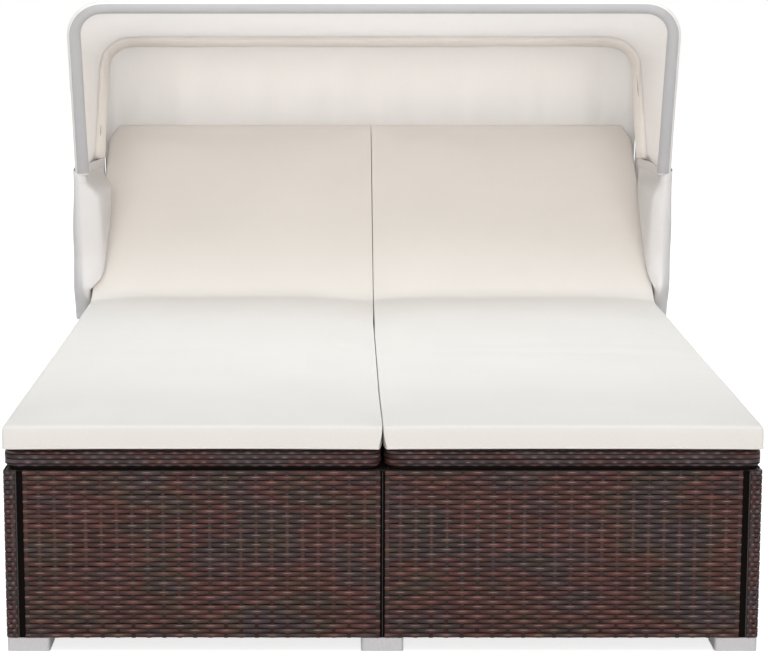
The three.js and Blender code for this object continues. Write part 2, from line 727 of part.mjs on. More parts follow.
const hoops = [
  ["front_hoop", frontFlatX, toRad(frontLeanDeg)],
  ["rear_hoop", rearFlatX, -toRad(rearLeanDeg)],
];
for (const [name, flatX, lean] of hoops) {
  const turned = new THREE.Group();
  turned.position.set(0, hoodPivotY, hoodPivotZ);
  turned.rotation.x = lean;
  daybed.add(turned);
  addMesh(turned, name, hoop(flatX), zincSteel);
}

// Cloth on the hoops. A place on a hoop is given by its x and its height along the arm.
function onHoop(leanDeg, x, height) {
  const lean = toRad(leanDeg);
  return new THREE.Vector3(x, hoodPivotY + height * Math.sin(lean), hoodPivotZ + height * Math.cos(lean));
}

function archStations(offset, hemArm) {
  const legSteps = 4;
  const bendSteps = hoopBendSteps;
  const barSteps = 10;
  const stations = [];
  const bendX = hoopX - hoopBend;
  const bendH = hoopArm - hoopBend;
  const radius = hoopBend + offset;
  for (let i = 0; i < legSteps; i += 1) {
    stations.push([-bendX - radius, hemArm + ((bendH - hemArm) * i) / legSteps]);
  }
  for (let i = 0; i < bendSteps; i += 1) {
    const angle = Math.PI - ((Math.PI / 2) * i) / bendSteps;
    stations.push([-bendX + radius * Math.cos(angle), bendH + radius * Math.sin(angle)]);
  }
  for (let i = 0; i <= barSteps / 2; i += 1) {
    stations.push([-bendX * (1 - (2 * i) / barSteps), bendH + radius]);
  }
  const mirrored = stations.slice(0, -1).reverse();
  return stations.concat(mirrored.map(([x, h]) => [-x, h]));
}

const roofOffset = (hoopTubeRadius + 2 * gap) / Math.cos(toRad((frontLeanDeg + rearLeanDeg) / 2));
function roofGrid(offset) {
  const frontArm = hemHeight / Math.cos(toRad(frontLeanDeg));
  const rearArm = hemHeight / Math.cos(toRad(rearLeanDeg));
  const front = archStations(offset, frontArm).map(([x, h]) => onHoop(-frontLeanDeg, x, h));
  const rear = archStations(offset, rearArm).map(([x, h]) => onHoop(rearLeanDeg, x, h));
  const steps = 6;
  const middleIndex = (front.length - 1) / 2;
  return front.map((from, i) => {
    const to = rear[i];
    const before = -roofOverhang / from.distanceTo(to);
    const slack = Math.sin((Math.PI * i) / (2 * middleIndex)) ** 2;
    const row = [];
    for (let j = 0; j <= steps; j += 1) {
      const v = before + ((1 - before) * j) / steps;
      const sag = roofSag * slack * Math.sin(Math.PI * Math.max(0, v)) ** 2;
      row.push(from.clone().lerp(to, v).add(new THREE.Vector3(0, 0, -sag)));
    }
    return row;
  });
}

const roof = shell(roofGrid(roofOffset + clothThickness), roofGrid(roofOffset));
addMesh(daybed, "roof_canopy", roof, hoodCloth);

// The rear curtain falls from the rear hoop to the head end of the base in shallow folds
const backOffset = (hoopTubeRadius + gap) / Math.cos(toRad(rearLeanDeg));
function curtainGrid(outward) {
  const columns = 4 * curtainFolds;
  const rows = 5;
  const reach = hoopX + hoopTubeRadius;
  const bendX = hoopX - hoopBend;
  const grid = [];
  for (let i = 0; i <= columns; i += 1) {
    const x = reach * ((2 * i) / columns - 1);
    const past = Math.min(hoopBend, Math.max(0, Math.abs(x) - bendX));
    const arm = hoopArm - hoopBend + Math.sqrt(hoopBend ** 2 - past ** 2);
    const top = onHoop(rearLeanDeg, x, arm).add(new THREE.Vector3(0, backOffset, 0));
    const bottom = new THREE.Vector3(x, halfLength - gap - clothThickness, railTop + gap);
    const row = [];
    for (let j = 0; j <= rows; j += 1) {
      const share = j / rows;
      const wave = Math.sin((2 * Math.PI * curtainFolds * i) / columns);
      const fold = curtainFold * Math.sin(Math.PI * share) * wave;
      row.push(top.clone().lerp(bottom, share).add(new THREE.Vector3(0, outward + fold, 0)));
    }
    grid.push(row);
  }
  return grid;
}

addMesh(daybed, "rear_curtain", shell(curtainGrid(clothThickness), curtainGrid(0)), hoodCloth);

// Side flaps hang outside the legs, from the roof's hem to the seat, back to the rear leg
function flapGrid(side, outward) {
  const columns = 12;
  const rows = 4;
  const frontY = hoodPivotY - hemHeight * Math.tan(toRad(frontLeanDeg)) - flapOverhang;
  const legX = hoopX + roofOffset + clothThickness + gap;
  const grid = [];
  for (let i = 0; i <= columns; i += 1) {
    const row = [];
    for (let j = 0; j <= rows; j += 1) {
      const drop = j / rows;
      const height = hemHeight + flapOverlap - drop * flapHeight;
      const backY = hoodPivotY + height * Math.tan(toRad(rearLeanDeg)) - gap;
      const y = frontY + ((backY - frontY) * i) / columns;
      const fold = flapFold * drop * Math.sin((Math.PI * flapFolds * i) / columns) ** 2;
      row.push(new THREE.Vector3(side * (legX + fold + outward), y, hoodPivotZ + height));
    }
    grid.push(row);
  }
  return grid;
}

// Side gussets close the corner between the rear leg and the rear curtain
function gussetGrid(side, outward) {
  const columns = 8;
  const rows = 5;
  const x = hoopX + hoopTubeRadius + gap;
  const lowArm = gussetAbovePivot / Math.cos(toRad(rearLeanDeg));
  const highArm = hoopArm - hoopBend;
  const grid = [];
  for (let i = 0; i <= columns; i += 1) {
    const row = [];
    for (let j = 0; j <= rows; j += 1) {
      const rise = j / rows;
      const arm = lowArm + (highArm - lowArm) * rise;
      const atLeg = onHoop(rearLeanDeg, 0, arm).add(new THREE.Vector3(0, gap, 0));
      const top = onHoop(rearLeanDeg, 0, highArm).add(new THREE.Vector3(0, backOffset, 0));
      const bottom = new THREE.Vector3(0, halfLength - clothThickness, railTop + gussetLift);
      const atBack = bottom.clone().lerp(top, rise);
      const share = i / columns;
      const place = atLeg.lerp(atBack, share);
      const fold = gussetFold * Math.sin(Math.PI * share) ** 2 * Math.sin(Math.PI * rise);
      row.push(new THREE.Vector3(side * (x + fold + outward), place.y, place.z));
    }
    grid.push(row);
  }
  return grid;
}

for (const [side, sideName] of [[-1, "left"], [1, "right"]]) {
  const flap = shell(flapGrid(side, clothThickness), flapGrid(side, 0));
  addMesh(daybed, `side_flap_${sideName}`, flap, hoodCloth);
  const gusset = shell(gussetGrid(side, clothThickness), gussetGrid(side, 0));
  addMesh(daybed, `rear_gusset_${sideName}`, gusset, hoodCloth);
}

export default daybed;
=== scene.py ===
"""Finishes, woven skins, pads and hood cloth for a two-place outdoor daybed."""
import math

import bpy
import numpy as np
from bpy.props import FloatProperty, FloatVectorProperty, IntProperty, PointerProperty
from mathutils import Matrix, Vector


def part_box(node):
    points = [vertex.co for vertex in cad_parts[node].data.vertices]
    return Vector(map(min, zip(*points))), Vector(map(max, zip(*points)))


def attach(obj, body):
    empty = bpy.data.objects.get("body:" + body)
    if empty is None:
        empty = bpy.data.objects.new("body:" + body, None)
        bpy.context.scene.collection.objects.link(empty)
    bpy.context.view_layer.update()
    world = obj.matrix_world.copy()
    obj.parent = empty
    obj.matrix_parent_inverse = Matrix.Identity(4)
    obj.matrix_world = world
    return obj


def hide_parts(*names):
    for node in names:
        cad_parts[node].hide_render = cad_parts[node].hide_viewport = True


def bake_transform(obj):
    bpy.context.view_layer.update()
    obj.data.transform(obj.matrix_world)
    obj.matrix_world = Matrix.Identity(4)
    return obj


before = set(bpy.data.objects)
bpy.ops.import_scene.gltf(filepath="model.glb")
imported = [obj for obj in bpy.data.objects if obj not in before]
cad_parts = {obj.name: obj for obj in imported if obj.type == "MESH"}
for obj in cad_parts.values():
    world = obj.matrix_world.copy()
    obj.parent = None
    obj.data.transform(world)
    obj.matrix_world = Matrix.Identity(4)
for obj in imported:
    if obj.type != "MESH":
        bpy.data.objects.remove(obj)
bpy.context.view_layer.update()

bl_info = {
    "name": "Woven Daybed with Canopy",
    "version": (1, 0, 0),
    "blender": (4, 5, 0),
    "location": "View3D > Sidebar > Daybed",
    "description": "Dresses the daybed's frame in weave, pads and hood cloth",
    "category": "Object",
}

SIDES = (("left", -1), ("right", 1))
ENDS = (("front", -1), ("rear", 1))
STITCH = 0.0045
GAP = 0.0003
RAISED = math.radians(36)


def centre_of(node):
    low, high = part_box(node)
    return (low + high) / 2


HINGE = centre_of("hinge_rod_left")
PIVOT = centre_of("hood_bolt_left")
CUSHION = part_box("seat_cushion_left")[0]


def srgb(red, green, blue):
    """A colour as it looks on screen, 0 to 255, turned into the linear values that a shader takes."""
    shares = [value / 255 for value in (red, green, blue)]
    return tuple(s / 12.92 if s <= 0.04045 else ((s + 0.055) / 1.055) ** 2.4 for s in shares)


def length_of(name, default, note):
    return FloatProperty(name=name, description=note, default=default, min=0, unit="LENGTH", precision=4)


def power_of(name, default, note):
    return FloatProperty(name=name, description=note, default=default, min=0, unit="POWER")


def angle_of(name, degrees, note):
    return FloatProperty(name=name, description=note, default=math.radians(degrees), subtype="ANGLE")


def colour_of(name, red, green, blue, note):
    return FloatVectorProperty(
        name=name, description=note, default=srgb(red, green, blue), size=3, min=0, max=1, subtype="COLOR")


# What a user may change


class DaybedWeaveSettings(bpy.types.PropertyGroup):
    pitch: length_of("Strand pitch", 0.00845, "Height of one row of the flat strands")
    strand: length_of("Strand width", 0.0081, "Width of a flat strand")
    thickness: length_of("Strand thickness", 0.0012, "Thickness of a flat strand")
    wave: length_of("Wave", 0.0005, "How far a strand swings in and out of its upright strands")
    upright_pitch: length_of("Upright pitch", 0.027, "Distance between the upright strands")
    upright: length_of("Upright width", 0.0075, "Width of an upright strand")
    red_brown: colour_of("Red brown", 77, 45, 40, "The warmest tone of the mixed strands")
    olive: colour_of("Olive brown", 66, 52, 40, "The greenish tone of the mixed strands")
    grey_brown: colour_of("Grey brown", 64, 49, 51, "The cool tone of the mixed strands")
    wrap: colour_of("Wrapping", 72, 58, 59, "The strands round the tubes and the corners")
    # The crown colour is a painted highlight: the light caught on the upper side of each strand's crown.
    crown: colour_of("Crown", 142, 118, 112, "The rubbed crown of each strand")
    # The core colour is painted shade: the near-black seen between the strands.
    shade: colour_of("Core", 16, 10, 9, "The wrapped tube behind the strands")


class DaybedPadSettings(bpy.types.PropertyGroup):
    cloth: colour_of("Pad cloth", 231, 226, 220, "Cover of the long pads")
    thickness: length_of("Thickness", 0.0435, "Thickness of a pad at its edge")
    crown: length_of("Crown", 0.005, "How much higher a pad is in its middle")
    draw: length_of("Drawn-in sides", 0.002, "How far a pad's sides pull in between its corners")
    edge: length_of("Edge radius", 0.008, "Rounding of the pad's edges")
    bend: length_of("Bend radius", 0.130, "Radius of the pad's underside where the backrest starts")
    swell: length_of("Most swell", 0.007, "The most that the filling pushes the cover out")
    welt: length_of("Welt radius", 0.0018, "Radius of the piping along the lower edge")
    step: length_of("Cover step", 0.013, "Distance between the points of the cover")
    pressure: FloatProperty(name="Pressure", description="Pressure of the filling", default=4.0, min=0)
    frames: IntProperty(name="Settling steps", description="Steps to settle", default=20, min=1)


class DaybedHoodSettings(bpy.types.PropertyGroup):
    cloth: colour_of("Hood cloth", 230, 226, 223, "Roof, curtain and flaps")
    # The front sleeve's grey tone is partly a greyer cloth and partly painted shade: it covers the sleeve's
    # front and underside, while its lit top keeps the hood cloth.
    binding: colour_of("Binding", 174, 172, 174, "Binding round the front hoop")
    side: colour_of("Side flaps", 221, 218, 217, "Cloth of the side flaps")
    rear: colour_of("Rear curtain", 222, 218, 215, "Cloth of the rear curtain")
    # The rear sleeve tone is paler than the hood cloth as painted light, lifting the shaded underside of the
    # sleeve round the rear hoop.
    sleeve_painted_light: colour_of("Rear sleeve", 242, 236, 230, "Sleeve round the rear hoop")
    arm: length_of("Arm", 0.802, "From the shared pivot to the middle of a hoop's bar")
    front_lean: angle_of("Front lean", 18.7, "Lean of the front hoop towards the foot end")
    rear_lean: angle_of("Rear lean", 34.9, "Lean of the rear hoop towards the head end")
    hoop_x: length_of("Leg distance", 0.6625, "From the middle of the bed to a hoop's leg")
    tube: length_of("Hoop radius", 0.0095, "Radius of the hoops' tube")
    bend: length_of("Hoop bend", 0.070, "Radius of the hoops' corners")
    hem: length_of("Hem height", 0.380, "Height of the roof's hem over the pivot")
    flap: length_of("Flap height", 0.365, "Height of the side flaps")
    sag: length_of("Sag", 0.014, "Sag of the roof between the hoops")
    thickness: length_of("Cloth thickness", 0.0012, "Thickness of the hood cloth")
    lip: length_of("Sleeve depth", 0.040, "Depth of the sleeves that hold the hoops")
    gusset_arm: length_of("Gusset start", 0.067, "From the pivot along the rear leg to the gusset")


class DaybedFrameSettings(bpy.types.PropertyGroup):
    frame_coat: colour_of("Frame coat", 34, 28, 25, "Powder coat of the base and brackets")
    hoop_coat: colour_of("Hoop coat", 176, 172, 170, "Powder coat of the hoops")
    zinc: colour_of("Zinc", 196, 198, 200, "Plated rods, bolts and stays")
    foot: colour_of("Feet", 200, 197, 200, "Moulded feet")
    knob: colour_of("Knobs", 34, 34, 35, "Moulded hand knobs")


class DaybedStageSettings(bpy.types.PropertyGroup):
    floor: colour_of("Floor", 207, 207, 207, "Plain floor under the daybed")
    ambient: FloatProperty(name="Room light", description="Even light from all round", default=0.5, min=0)
    top: power_of("Top lamp", 318.0, "Power of the lamp overhead")
    near: power_of("Near lamp", 5.65, "Power of the lamp in front of the hood")
    front: power_of("Front lamp", 1285.0, "Power of the far front lamp")
    lens: FloatProperty(name="Lens", description="Focal length", default=103.27, min=1, unit="CAMERA")
    pitch: angle_of("Camera pitch", 8.896, "How far the camera looks down")


GROUPS = {
    "daybed_weave": DaybedWeaveSettings,
    "daybed_pads": DaybedPadSettings,
    "daybed_hood": DaybedHoodSettings,
    "daybed_frame": DaybedFrameSettings,
    "daybed_stage": DaybedStageSettings,
}


# Mesh helpers


def grid_quads(index, wrap_rows=False, wrap_columns=False):
    """Quads between the neighbours in a table of point numbers, on its last two axes."""
    if wrap_rows:
        index = np.concatenate([index, index[..., :1, :]], -2)
    if wrap_columns:
        index = np.concatenate([index, index[..., :1]], -1)
    corners = [index[..., :-1, :-1], index[..., 1:, :-1], index[..., 1:, 1:], index[..., :-1, 1:]]
    return np.stack(corners, -1).reshape(-1, 4)


def enclosed_volume(points, quads):
    a, b, c, d = (points[quads[:, k]] for k in range(4))
    return float((np.cross(a, b) * c).sum() + (np.cross(a, c) * d).sum()) / 6


def add_piece(name, points, quads, finishes, place=None, finish_of=None):
    """A closed, smooth-shaded mesh. place is where each point lies in its cloth or strand."""
    points = np.ascontiguousarray(points, np.float32).reshape(-1, 3)
    quads = np.ascontiguousarray(quads, np.int32).reshape(-1, 4)
    if enclosed_volume(points.astype(float), quads) < 0:
        quads = np.ascontiguousarray(quads[:, ::-1])
    mesh = bpy.data.meshes.new(name)
    mesh.vertices.add(len(points))
    mesh.vertices.foreach_set("co", points.ravel())
    mesh.loops.add(quads.size)
    mesh.loops.foreach_set("vertex_index", quads.ravel())
    mesh.polygons.add(len(quads))
    mesh.polygons.foreach_set("loop_start", np.arange(0, quads.size, 4, dtype=np.int32))
    mesh.polygons.foreach_set("use_smooth", np.ones(len(quads), bool))
    for finish in finishes:
        mesh.materials.append(finish)
    if finish_of is not None:
        mesh.polygons.foreach_set("material_index", np.ascontiguousarray(finish_of, np.int32))
    mesh.update(calc_edges=True)
    if place is not None:
        layer = mesh.attributes.new("place", "FLOAT_VECTOR", "POINT")
        layer.data.foreach_set("vector", np.ascontiguousarray(place, np.float32).ravel())
    piece = bpy.data.objects.new(name, mesh)
    bpy.context.scene.collection.objects.link(piece)
    return piece


def points_of(piece):
    flat = np.empty(len(piece.data.vertices) * 3, np.float32)
    piece.data.vertices.foreach_get("co", flat)
    return flat.reshape(-1, 3).astype(float)


def evaluated(piece):
    return piece.evaluated_get(bpy.context.evaluated_depsgraph_get())


def refine(piece):
    """Rounds a piece by one subdivision, kept as its own mesh."""
    modifier = piece.modifiers.new("Refine", "SUBSURF")
    modifier.levels = modifier.render_levels = 1
    bpy.context.view_layer.update()
    mesh = bpy.data.meshes.new_from_object(evaluated(piece))
    piece.modifiers.clear()
    piece.data = mesh


def unit(vectors):
    return vectors / np.maximum(np.linalg.norm(vectors, axis=-1, keepdims=True), 1e-12)


def smooth_step(value):
    value = np.clip(value, 0, 1)
    return value * value * (3 - 2 * value)


def hump(off, width):
    return np.exp(-(off / width) ** 2)


def lengths_along(points):
    steps = np.linalg.norm(np.diff(points, axis=0), axis=-1)
    return np.concatenate([[0], np.cumsum(steps)])


def soft_waves(seed, along, across, count=7):
    """Seeded sum of slow sines, from about -1 to 1, over two lengths in metres."""
    dice = np.random.RandomState(seed)
    total = np.zeros(np.broadcast(along, across).shape)
    for _ in range(count):
        spin, rate, turn = dice.uniform(0, math.tau), dice.uniform(6, 26), dice.uniform(0, math.tau)
        total = total + np.sin(rate * (along * math.cos(spin) + across * math.sin(spin)) + turn)
    return total / math.sqrt(count * 2)


def cloth_shell(name, middle, thickness, finishes, place=None, finish_of=None, thick=None, outside=0):
    """A closed sheet of even thickness round a grid of points, with its edges joined."""
    rows, columns = middle.shape[:2]
    facing = unit(np.cross(np.gradient(middle, axis=0), np.gradient(middle, axis=1)))
    half = thickness / 2 * (1 if thick is None else thick[..., None])
    points = np.stack([middle + facing * half, middle - facing * half]).reshape(-1, 3)
    index = np.arange(rows * columns).reshape(rows, columns)
    other = index + rows * columns
    rim = np.concatenate([index[:, 0], index[-1, 1:], index[-2::-1, -1], index[0, -2:0:-1]])
    onward = np.roll(rim, -1)
    edge = np.stack([onward, rim, rim + rows * columns, onward + rows * columns], -1)
    quads = np.concatenate([grid_quads(index), grid_quads(other)[:, ::-1], edge])
    of_face = None
    if finish_of is not None:
        face = finish_of[:-1, :-1].ravel()
        of_face = np.concatenate([np.where(face == 0, outside, face), face, np.zeros(len(edge), int)])
    if place is not None:
        place = np.concatenate([place.reshape(-1, 3)] * 2)
    return add_piece(name, points, quads, finishes, place, of_face)


# Finishes


class Nodes:
    """A node tree in the making, with short ways to add and join nodes."""

    def __init__(self, tree):
        self.nodes, self.links = tree.nodes, tree.links

    def add(self, kind, settings=None, **inputs):
        node = self.nodes.new(kind)
        for key, value in (settings or {}).items():
            setattr(node, key, value)
        for key, value in inputs.items():
            self.join(value, node.inputs[int(key[1:]) if key[1:].isdigit() else key.replace("_", " ")])
        return node

    def join(self, value, socket):
        if isinstance(value, bpy.types.NodeSocket):
            self.links.new(value, socket)
        elif hasattr(value, "__len__") and socket.type == "RGBA":
            socket.default_value = (*value[:3], 1)
        else:
            socket.default_value = value

    def maths(self, operation, a, b=0.0):
        return self.add("ShaderNodeMath", {"operation": operation}, _0=a, _1=b).outputs[0]

    def times(self, a, b):
        return self.maths("MULTIPLY", a, b)

    def seen_directly(self):
        """1 where a camera, glossy or transmission ray meets the surface, else 0."""
        rays = self.add("ShaderNodeLightPath").outputs
        seen = self.maths("MAXIMUM", rays["Is Camera Ray"], rays["Is Glossy Ray"])
        return self.maths("MAXIMUM", seen, rays["Is Transmission Ray"])


class Finish(Nodes):
    """A material in the making."""

    def __init__(self, name):
        self.material = bpy.data.materials.new(name)
        self.material.use_nodes = True
        super().__init__(self.material.node_tree)
        self.shader = self.nodes["Principled BSDF"]

    def place(self, *scale):
        spot = self.add("ShaderNodeAttribute", {"attribute_name": "place"})
        return self.add("ShaderNodeMapping", Vector=spot.outputs["Vector"], Scale=scale).outputs[0]

    def solid_place(self):
        return self.add("ShaderNodeTexCoord").outputs["Object"]

    def noise(self, vector, scale=1.0, detail=2.0, rough=0.5):
        node = self.add("ShaderNodeTexNoise", Vector=vector, Scale=scale, Detail=detail, Roughness=rough)
        return node.outputs["Fac"]

    def threads(self, vector, pitch, **more):
        """Two sets of soft ridges that cross, with the given distance between them."""
        return [self.add("ShaderNodeTexWave", {"bands_direction": way}, Vector=vector, Scale=0.314 / pitch,
                         **more).outputs["Fac"] for way in ("X", "Y")]

    def ramp(self, value, *stops):
        node = self.add("ShaderNodeValToRGB", Fac=value)
        row = node.color_ramp.elements
        while len(row) < len(stops):
            row.new(0.5)
        for element, (at, colour) in zip(row, stops):
            element.position = at
            element.color = (*colour[:3], 1) if hasattr(colour, "__len__") else (colour, colour, colour, 1)
        return node.outputs["Color"]

    def mix(self, share, a, b, blend="MIX"):
        node = self.add("ShaderNodeMix", {"data_type": "RGBA", "blend_type": blend})
        for value, socket in ((share, 0), (a, 6), (b, 7)):
            self.join(value, node.inputs[socket])
        return node.outputs[2]

    def shade(self, colour, value, *stops):
        """The colour, multiplied by a ramp of the value."""
        return self.mix(1.0, colour, self.ramp(value, *stops), "MULTIPLY")

    def bump(self, height, distance, strength=1.0, after=None):
        node = self.add("ShaderNodeBump", Height=height, Distance=distance, Strength=strength)
        if after is not None:
            self.links.new(after, node.inputs["Normal"])
        return node.outputs[0]

    def finish(self, **inputs):
        for key, value in inputs.items():
            self.join(value, self.shader.inputs[key.replace("_", " ")])
        return self.material


def made_once(make):
    """Looks a finish up by its name, and makes it the first time."""
    return lambda name, *settings: bpy.data.materials.get(name) or make(Finish(name), *settings)


def tone(colour, share):
    return tuple(min(1.0, value * share) for value in colour)


@made_once
def strand_finish(made, wrapped):
    """Flat strands in mixed browns. place holds metres along a strand, its row, and how far out it swings."""
    look = bpy.context.scene.daybed_weave
    patch = made.noise(made.place(4.5, 0.085, 0), 1.0, 2.0)
    strand = made.noise(made.place(5.5, 3.37, 0), 1.0, 1.0)
    mixed = made.maths("ADD", made.times(patch, 0.76), made.times(strand, 0.24))
    row = [(0.37, look.olive), (0.43, look.grey_brown), (0.47, look.red_brown),
           (0.53, tone(look.red_brown, 1.15)), (0.57, look.olive), (0.63, look.grey_brown)]
    if wrapped:
        row = [(0.37, look.wrap), (0.47, tone(look.wrap, 0.85)), (0.53, look.red_brown), (0.60, look.wrap)]
    browns = made.ramp(mixed, *row)
    streak = made.noise(made.place(55.0, 14.0, 0), 1.0, 3.0, 0.65)
    browns = made.shade(browns, streak, (0.25, 0.62), (0.75, 1.35))
    along, rows, out = made.add("ShaderNodeSeparateXYZ", _0=made.place(1, 1, 1)).outputs
    # Painted shade and light: each strand is darker where it swings in under the uprights and lighter where
    # it swings out on its crowns.
    outward = made.maths("ADD", made.times(out, 0.5), 0.5)
    browns = made.shade(browns, outward, (0.0, 0.56), (0.30, 0.64), (0.66, 0.86), (1.0, 1.10))
    number = made.maths("ROUND", rows)
    dash = made.add("ShaderNodeCombineXYZ", _0=made.times(along, 19.0), _1=made.times(number, 5.3)).outputs[0]
    browns = made.shade(browns, made.noise(dash, 1.0, 0.0), (0.30, 0.70), (0.70, 1.34))
    across = made.maths("SUBTRACT", rows, number)
    # Painted shade: each strand darkens towards its upper and lower edges, for the shade in the gaps between
    # the rows.
    sides = (0.20, 1.0), (0.40, 0.82 if wrapped else 0.68)
    browns = made.shade(browns, made.maths("ABSOLUTE", across), *sides)
    # Painted highlight: a pale line in the crown colour along the upper side of each strand, where it swings
    # furthest out and catches light from above.
    off_highlight_line = made.maths("ABSOLUTE", made.maths("SUBTRACT", across, 0.10))
    highlight_line = made.maths("SUBTRACT", 1.0, made.times(off_highlight_line, 8.0))
    rise = made.times(made.maths("SUBTRACT", out, 0.55), 3.0)
    patchy = made.ramp(made.noise(made.place(26.0, 1.7, 0), 1.0, 2.0), (0.38, 0.15), (0.58, 1.0))
    crown_highlight = made.times(made.maths("MAXIMUM", highlight_line, 0.0), made.maths("MAXIMUM", rise, 0.0))
    crown_highlight = made.add("ShaderNodeClamp", Value=made.times(crown_highlight, patchy)).outputs[0]
    browns = made.mix(made.times(crown_highlight, 0.8), browns, look.crown)
    grain = made.noise(made.place(30.0, 22.0, 0), 1.0, 2.0)
    gloss = made.ramp(streak, (0.2, 0.42), (0.8, 0.6))
    return made.finish(
        Base_Color=browns, Roughness=gloss, Specular_IOR_Level=0.22, Normal=made.bump(grain, 0.00035, 0.8))


# Painted shade: a near-black finish for the tube cores, the back frames and the sheets behind the weave,
# standing in for the shade between the strands.
@made_once
def shade_core_finish(made):
    look = bpy.context.scene.daybed_weave
    cloud = made.noise(made.solid_place(), 60.0, 2.0)
    colour = made.mix(cloud, tone(look.shade, 0.8), tone(look.shade, 1.3))
    normal = made.bump(cloud, 0.0002)
    return made.finish(Base_Color=colour, Roughness=0.8, Specular_IOR_Level=0.06, Normal=normal)


@made_once
def deck_finish(made):
    """Woven deck on a plain node: strands of 8 mm crossing in a basket pattern."""
    look = bpy.context.scene.daybed_weave
    height = made.maths("MAXIMUM", *made.threads(made.solid_place(), 0.0166))
    cloud = made.noise(made.solid_place(), 7.0, 2.0)
    colour = made.ramp(cloud, (0.35, look.grey_brown), (0.5, look.red_brown), (0.65, look.olive))
    # Painted shade: the deck's colour darkens where the thread pattern is low, as shade between the crossing
    # strands.
    colour = made.shade(colour, height, (0.2, 0.35), (0.9, 1.0))
    return made.finish(Base_Color=colour, Roughness=0.5, Normal=made.bump(height, 0.0012))


@made_once
def cloth_finish(made, colour, thread, rough, sheen, glow=0.0):
    """Plain-woven cloth. place holds metres across and along the cloth, and 1 where a seam is stitched."""
    weave = made.times(*made.threads(made.place(1, 1, 1), thread, Distortion=0.6, Detail=1.0))
    slub = made.noise(made.place(160.0, 900.0, 0), 1.0, 2.0)
    cloud = made.noise(made.place(5.0, 5.0, 0), 1.0, 3.0)
    base = made.mix(cloud, tone(colour, 0.965), tone(colour, 1.025))
    base = made.shade(base, slub, (0.3, 0.975), (0.7, 1.01))
    along, _, sewn = made.add("ShaderNodeSeparateXYZ", _0=made.place(1, 1, 1)).outputs
    line = made.ramp(sewn, (0.90, 0.0), (0.97, 1.0))
    dash = made.ramp(made.maths("FRACT", made.times(along, 1 / STITCH)), (0.62, 1.0), (0.7, 0.25))
    base = made.mix(made.times(made.times(line, dash), 0.30), base, tone(colour, 0.45))
    fine = made.bump(made.maths("ADD", weave, made.times(slub, 0.6)), 0.00012, 0.6)
    fine = made.bump(made.maths("SUBTRACT", 1.0, line), 0.0008, 0.5, fine)
    soft = made.bump(made.noise(made.place(22.0, 14.0, 0), 1.0, 2.0), 0.0012, 0.35, fine)
    if glow:
        made.shader.subsurface_method = "BURLEY"
        made.finish(Subsurface_Weight=glow, Subsurface_Scale=0.02, Subsurface_Radius=(1.0, 1.0, 1.0))
    return made.finish(Base_Color=base, Roughness=rough, Normal=soft, Sheen_Weight=sheen, Sheen_Roughness=0.5)


@made_once
def coat_finish(made, colour, rough, metal=0.0, speck=900.0, depth=0.00005):
    """Powder coat, plating or moulded plastic, with fine texture and faint wear."""
    fine = made.noise(made.solid_place(), speck, 2.0)
    cloud = made.noise(made.solid_place(), 14.0, 4.0, 0.6)
    base = made.mix(cloud, tone(colour, 0.86), tone(colour, 1.1))
    base = made.shade(base, fine, (0.3, 0.93), (0.7, 1.03))
    gloss = made.ramp(cloud, (0.3, rough * 0.85), (0.7, min(1.0, rough * 1.15)))
    return made.finish(Base_Color=base, Roughness=gloss, Metallic=metal, Normal=made.bump(fine, depth, 0.7))


def pad_cloth():
    return cloth_finish("pad_cloth", bpy.context.scene.daybed_pads.cloth, 0.0009, 0.92, 0.12)


HOOD_CLOTHS = {
    "hood_cloth": ("cloth", 0.6),
    "roof_cloth": ("cloth", 0.0),
    "curtain_cloth": ("rear", 0.6),
    "flap_cloth": ("side", 0.5),
    # The grey tone of the front sleeve is partly painted shade.
    "hood_binding": ("binding", 0.45),
    # The pale tone of the rear sleeve is painted light.
    "hood_sleeve": ("sleeve_painted_light", 0.6),
}


def hood_cloth(name):
    colour, glow = HOOD_CLOTHS[name]
    return cloth_finish(name, getattr(bpy.context.scene.daybed_hood, colour), 0.0006, 0.85, 0.08, glow)


def dress_node(name, finish):
    """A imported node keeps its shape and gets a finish."""
    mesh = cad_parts[name].data
    mesh.materials.clear()
    mesh.materials.append(finish)


# Woven skins

ACROSS, OUTWARD = np.array([(-0.5, -0.5), (-0.39, 0.5), (0.39, 0.5), (0.5, -0.5)]).T
STRAND_DRIFT, STRAND_JITTER = 0.0003, 0.0001
# The uprights' place lies far in, so the strands' finish paints them dark, as painted shade between the
# crossings.
UPRIGHT_THICKNESS, UPRIGHT_ROW, UPRIGHT_SHADE_DEPTH = 0.0009, 500, -0.85
ROW_SHARE = 0.8
SKIN_INSET = 0.0026
TUBE_HALF, TUBE_CORNER, TUBE_SKIN = 0.0145, 0.0062, 0.0012
BACK_LEG, BACK_LENGTH, TUBE_BEND = 0.030, 0.640, 0.012


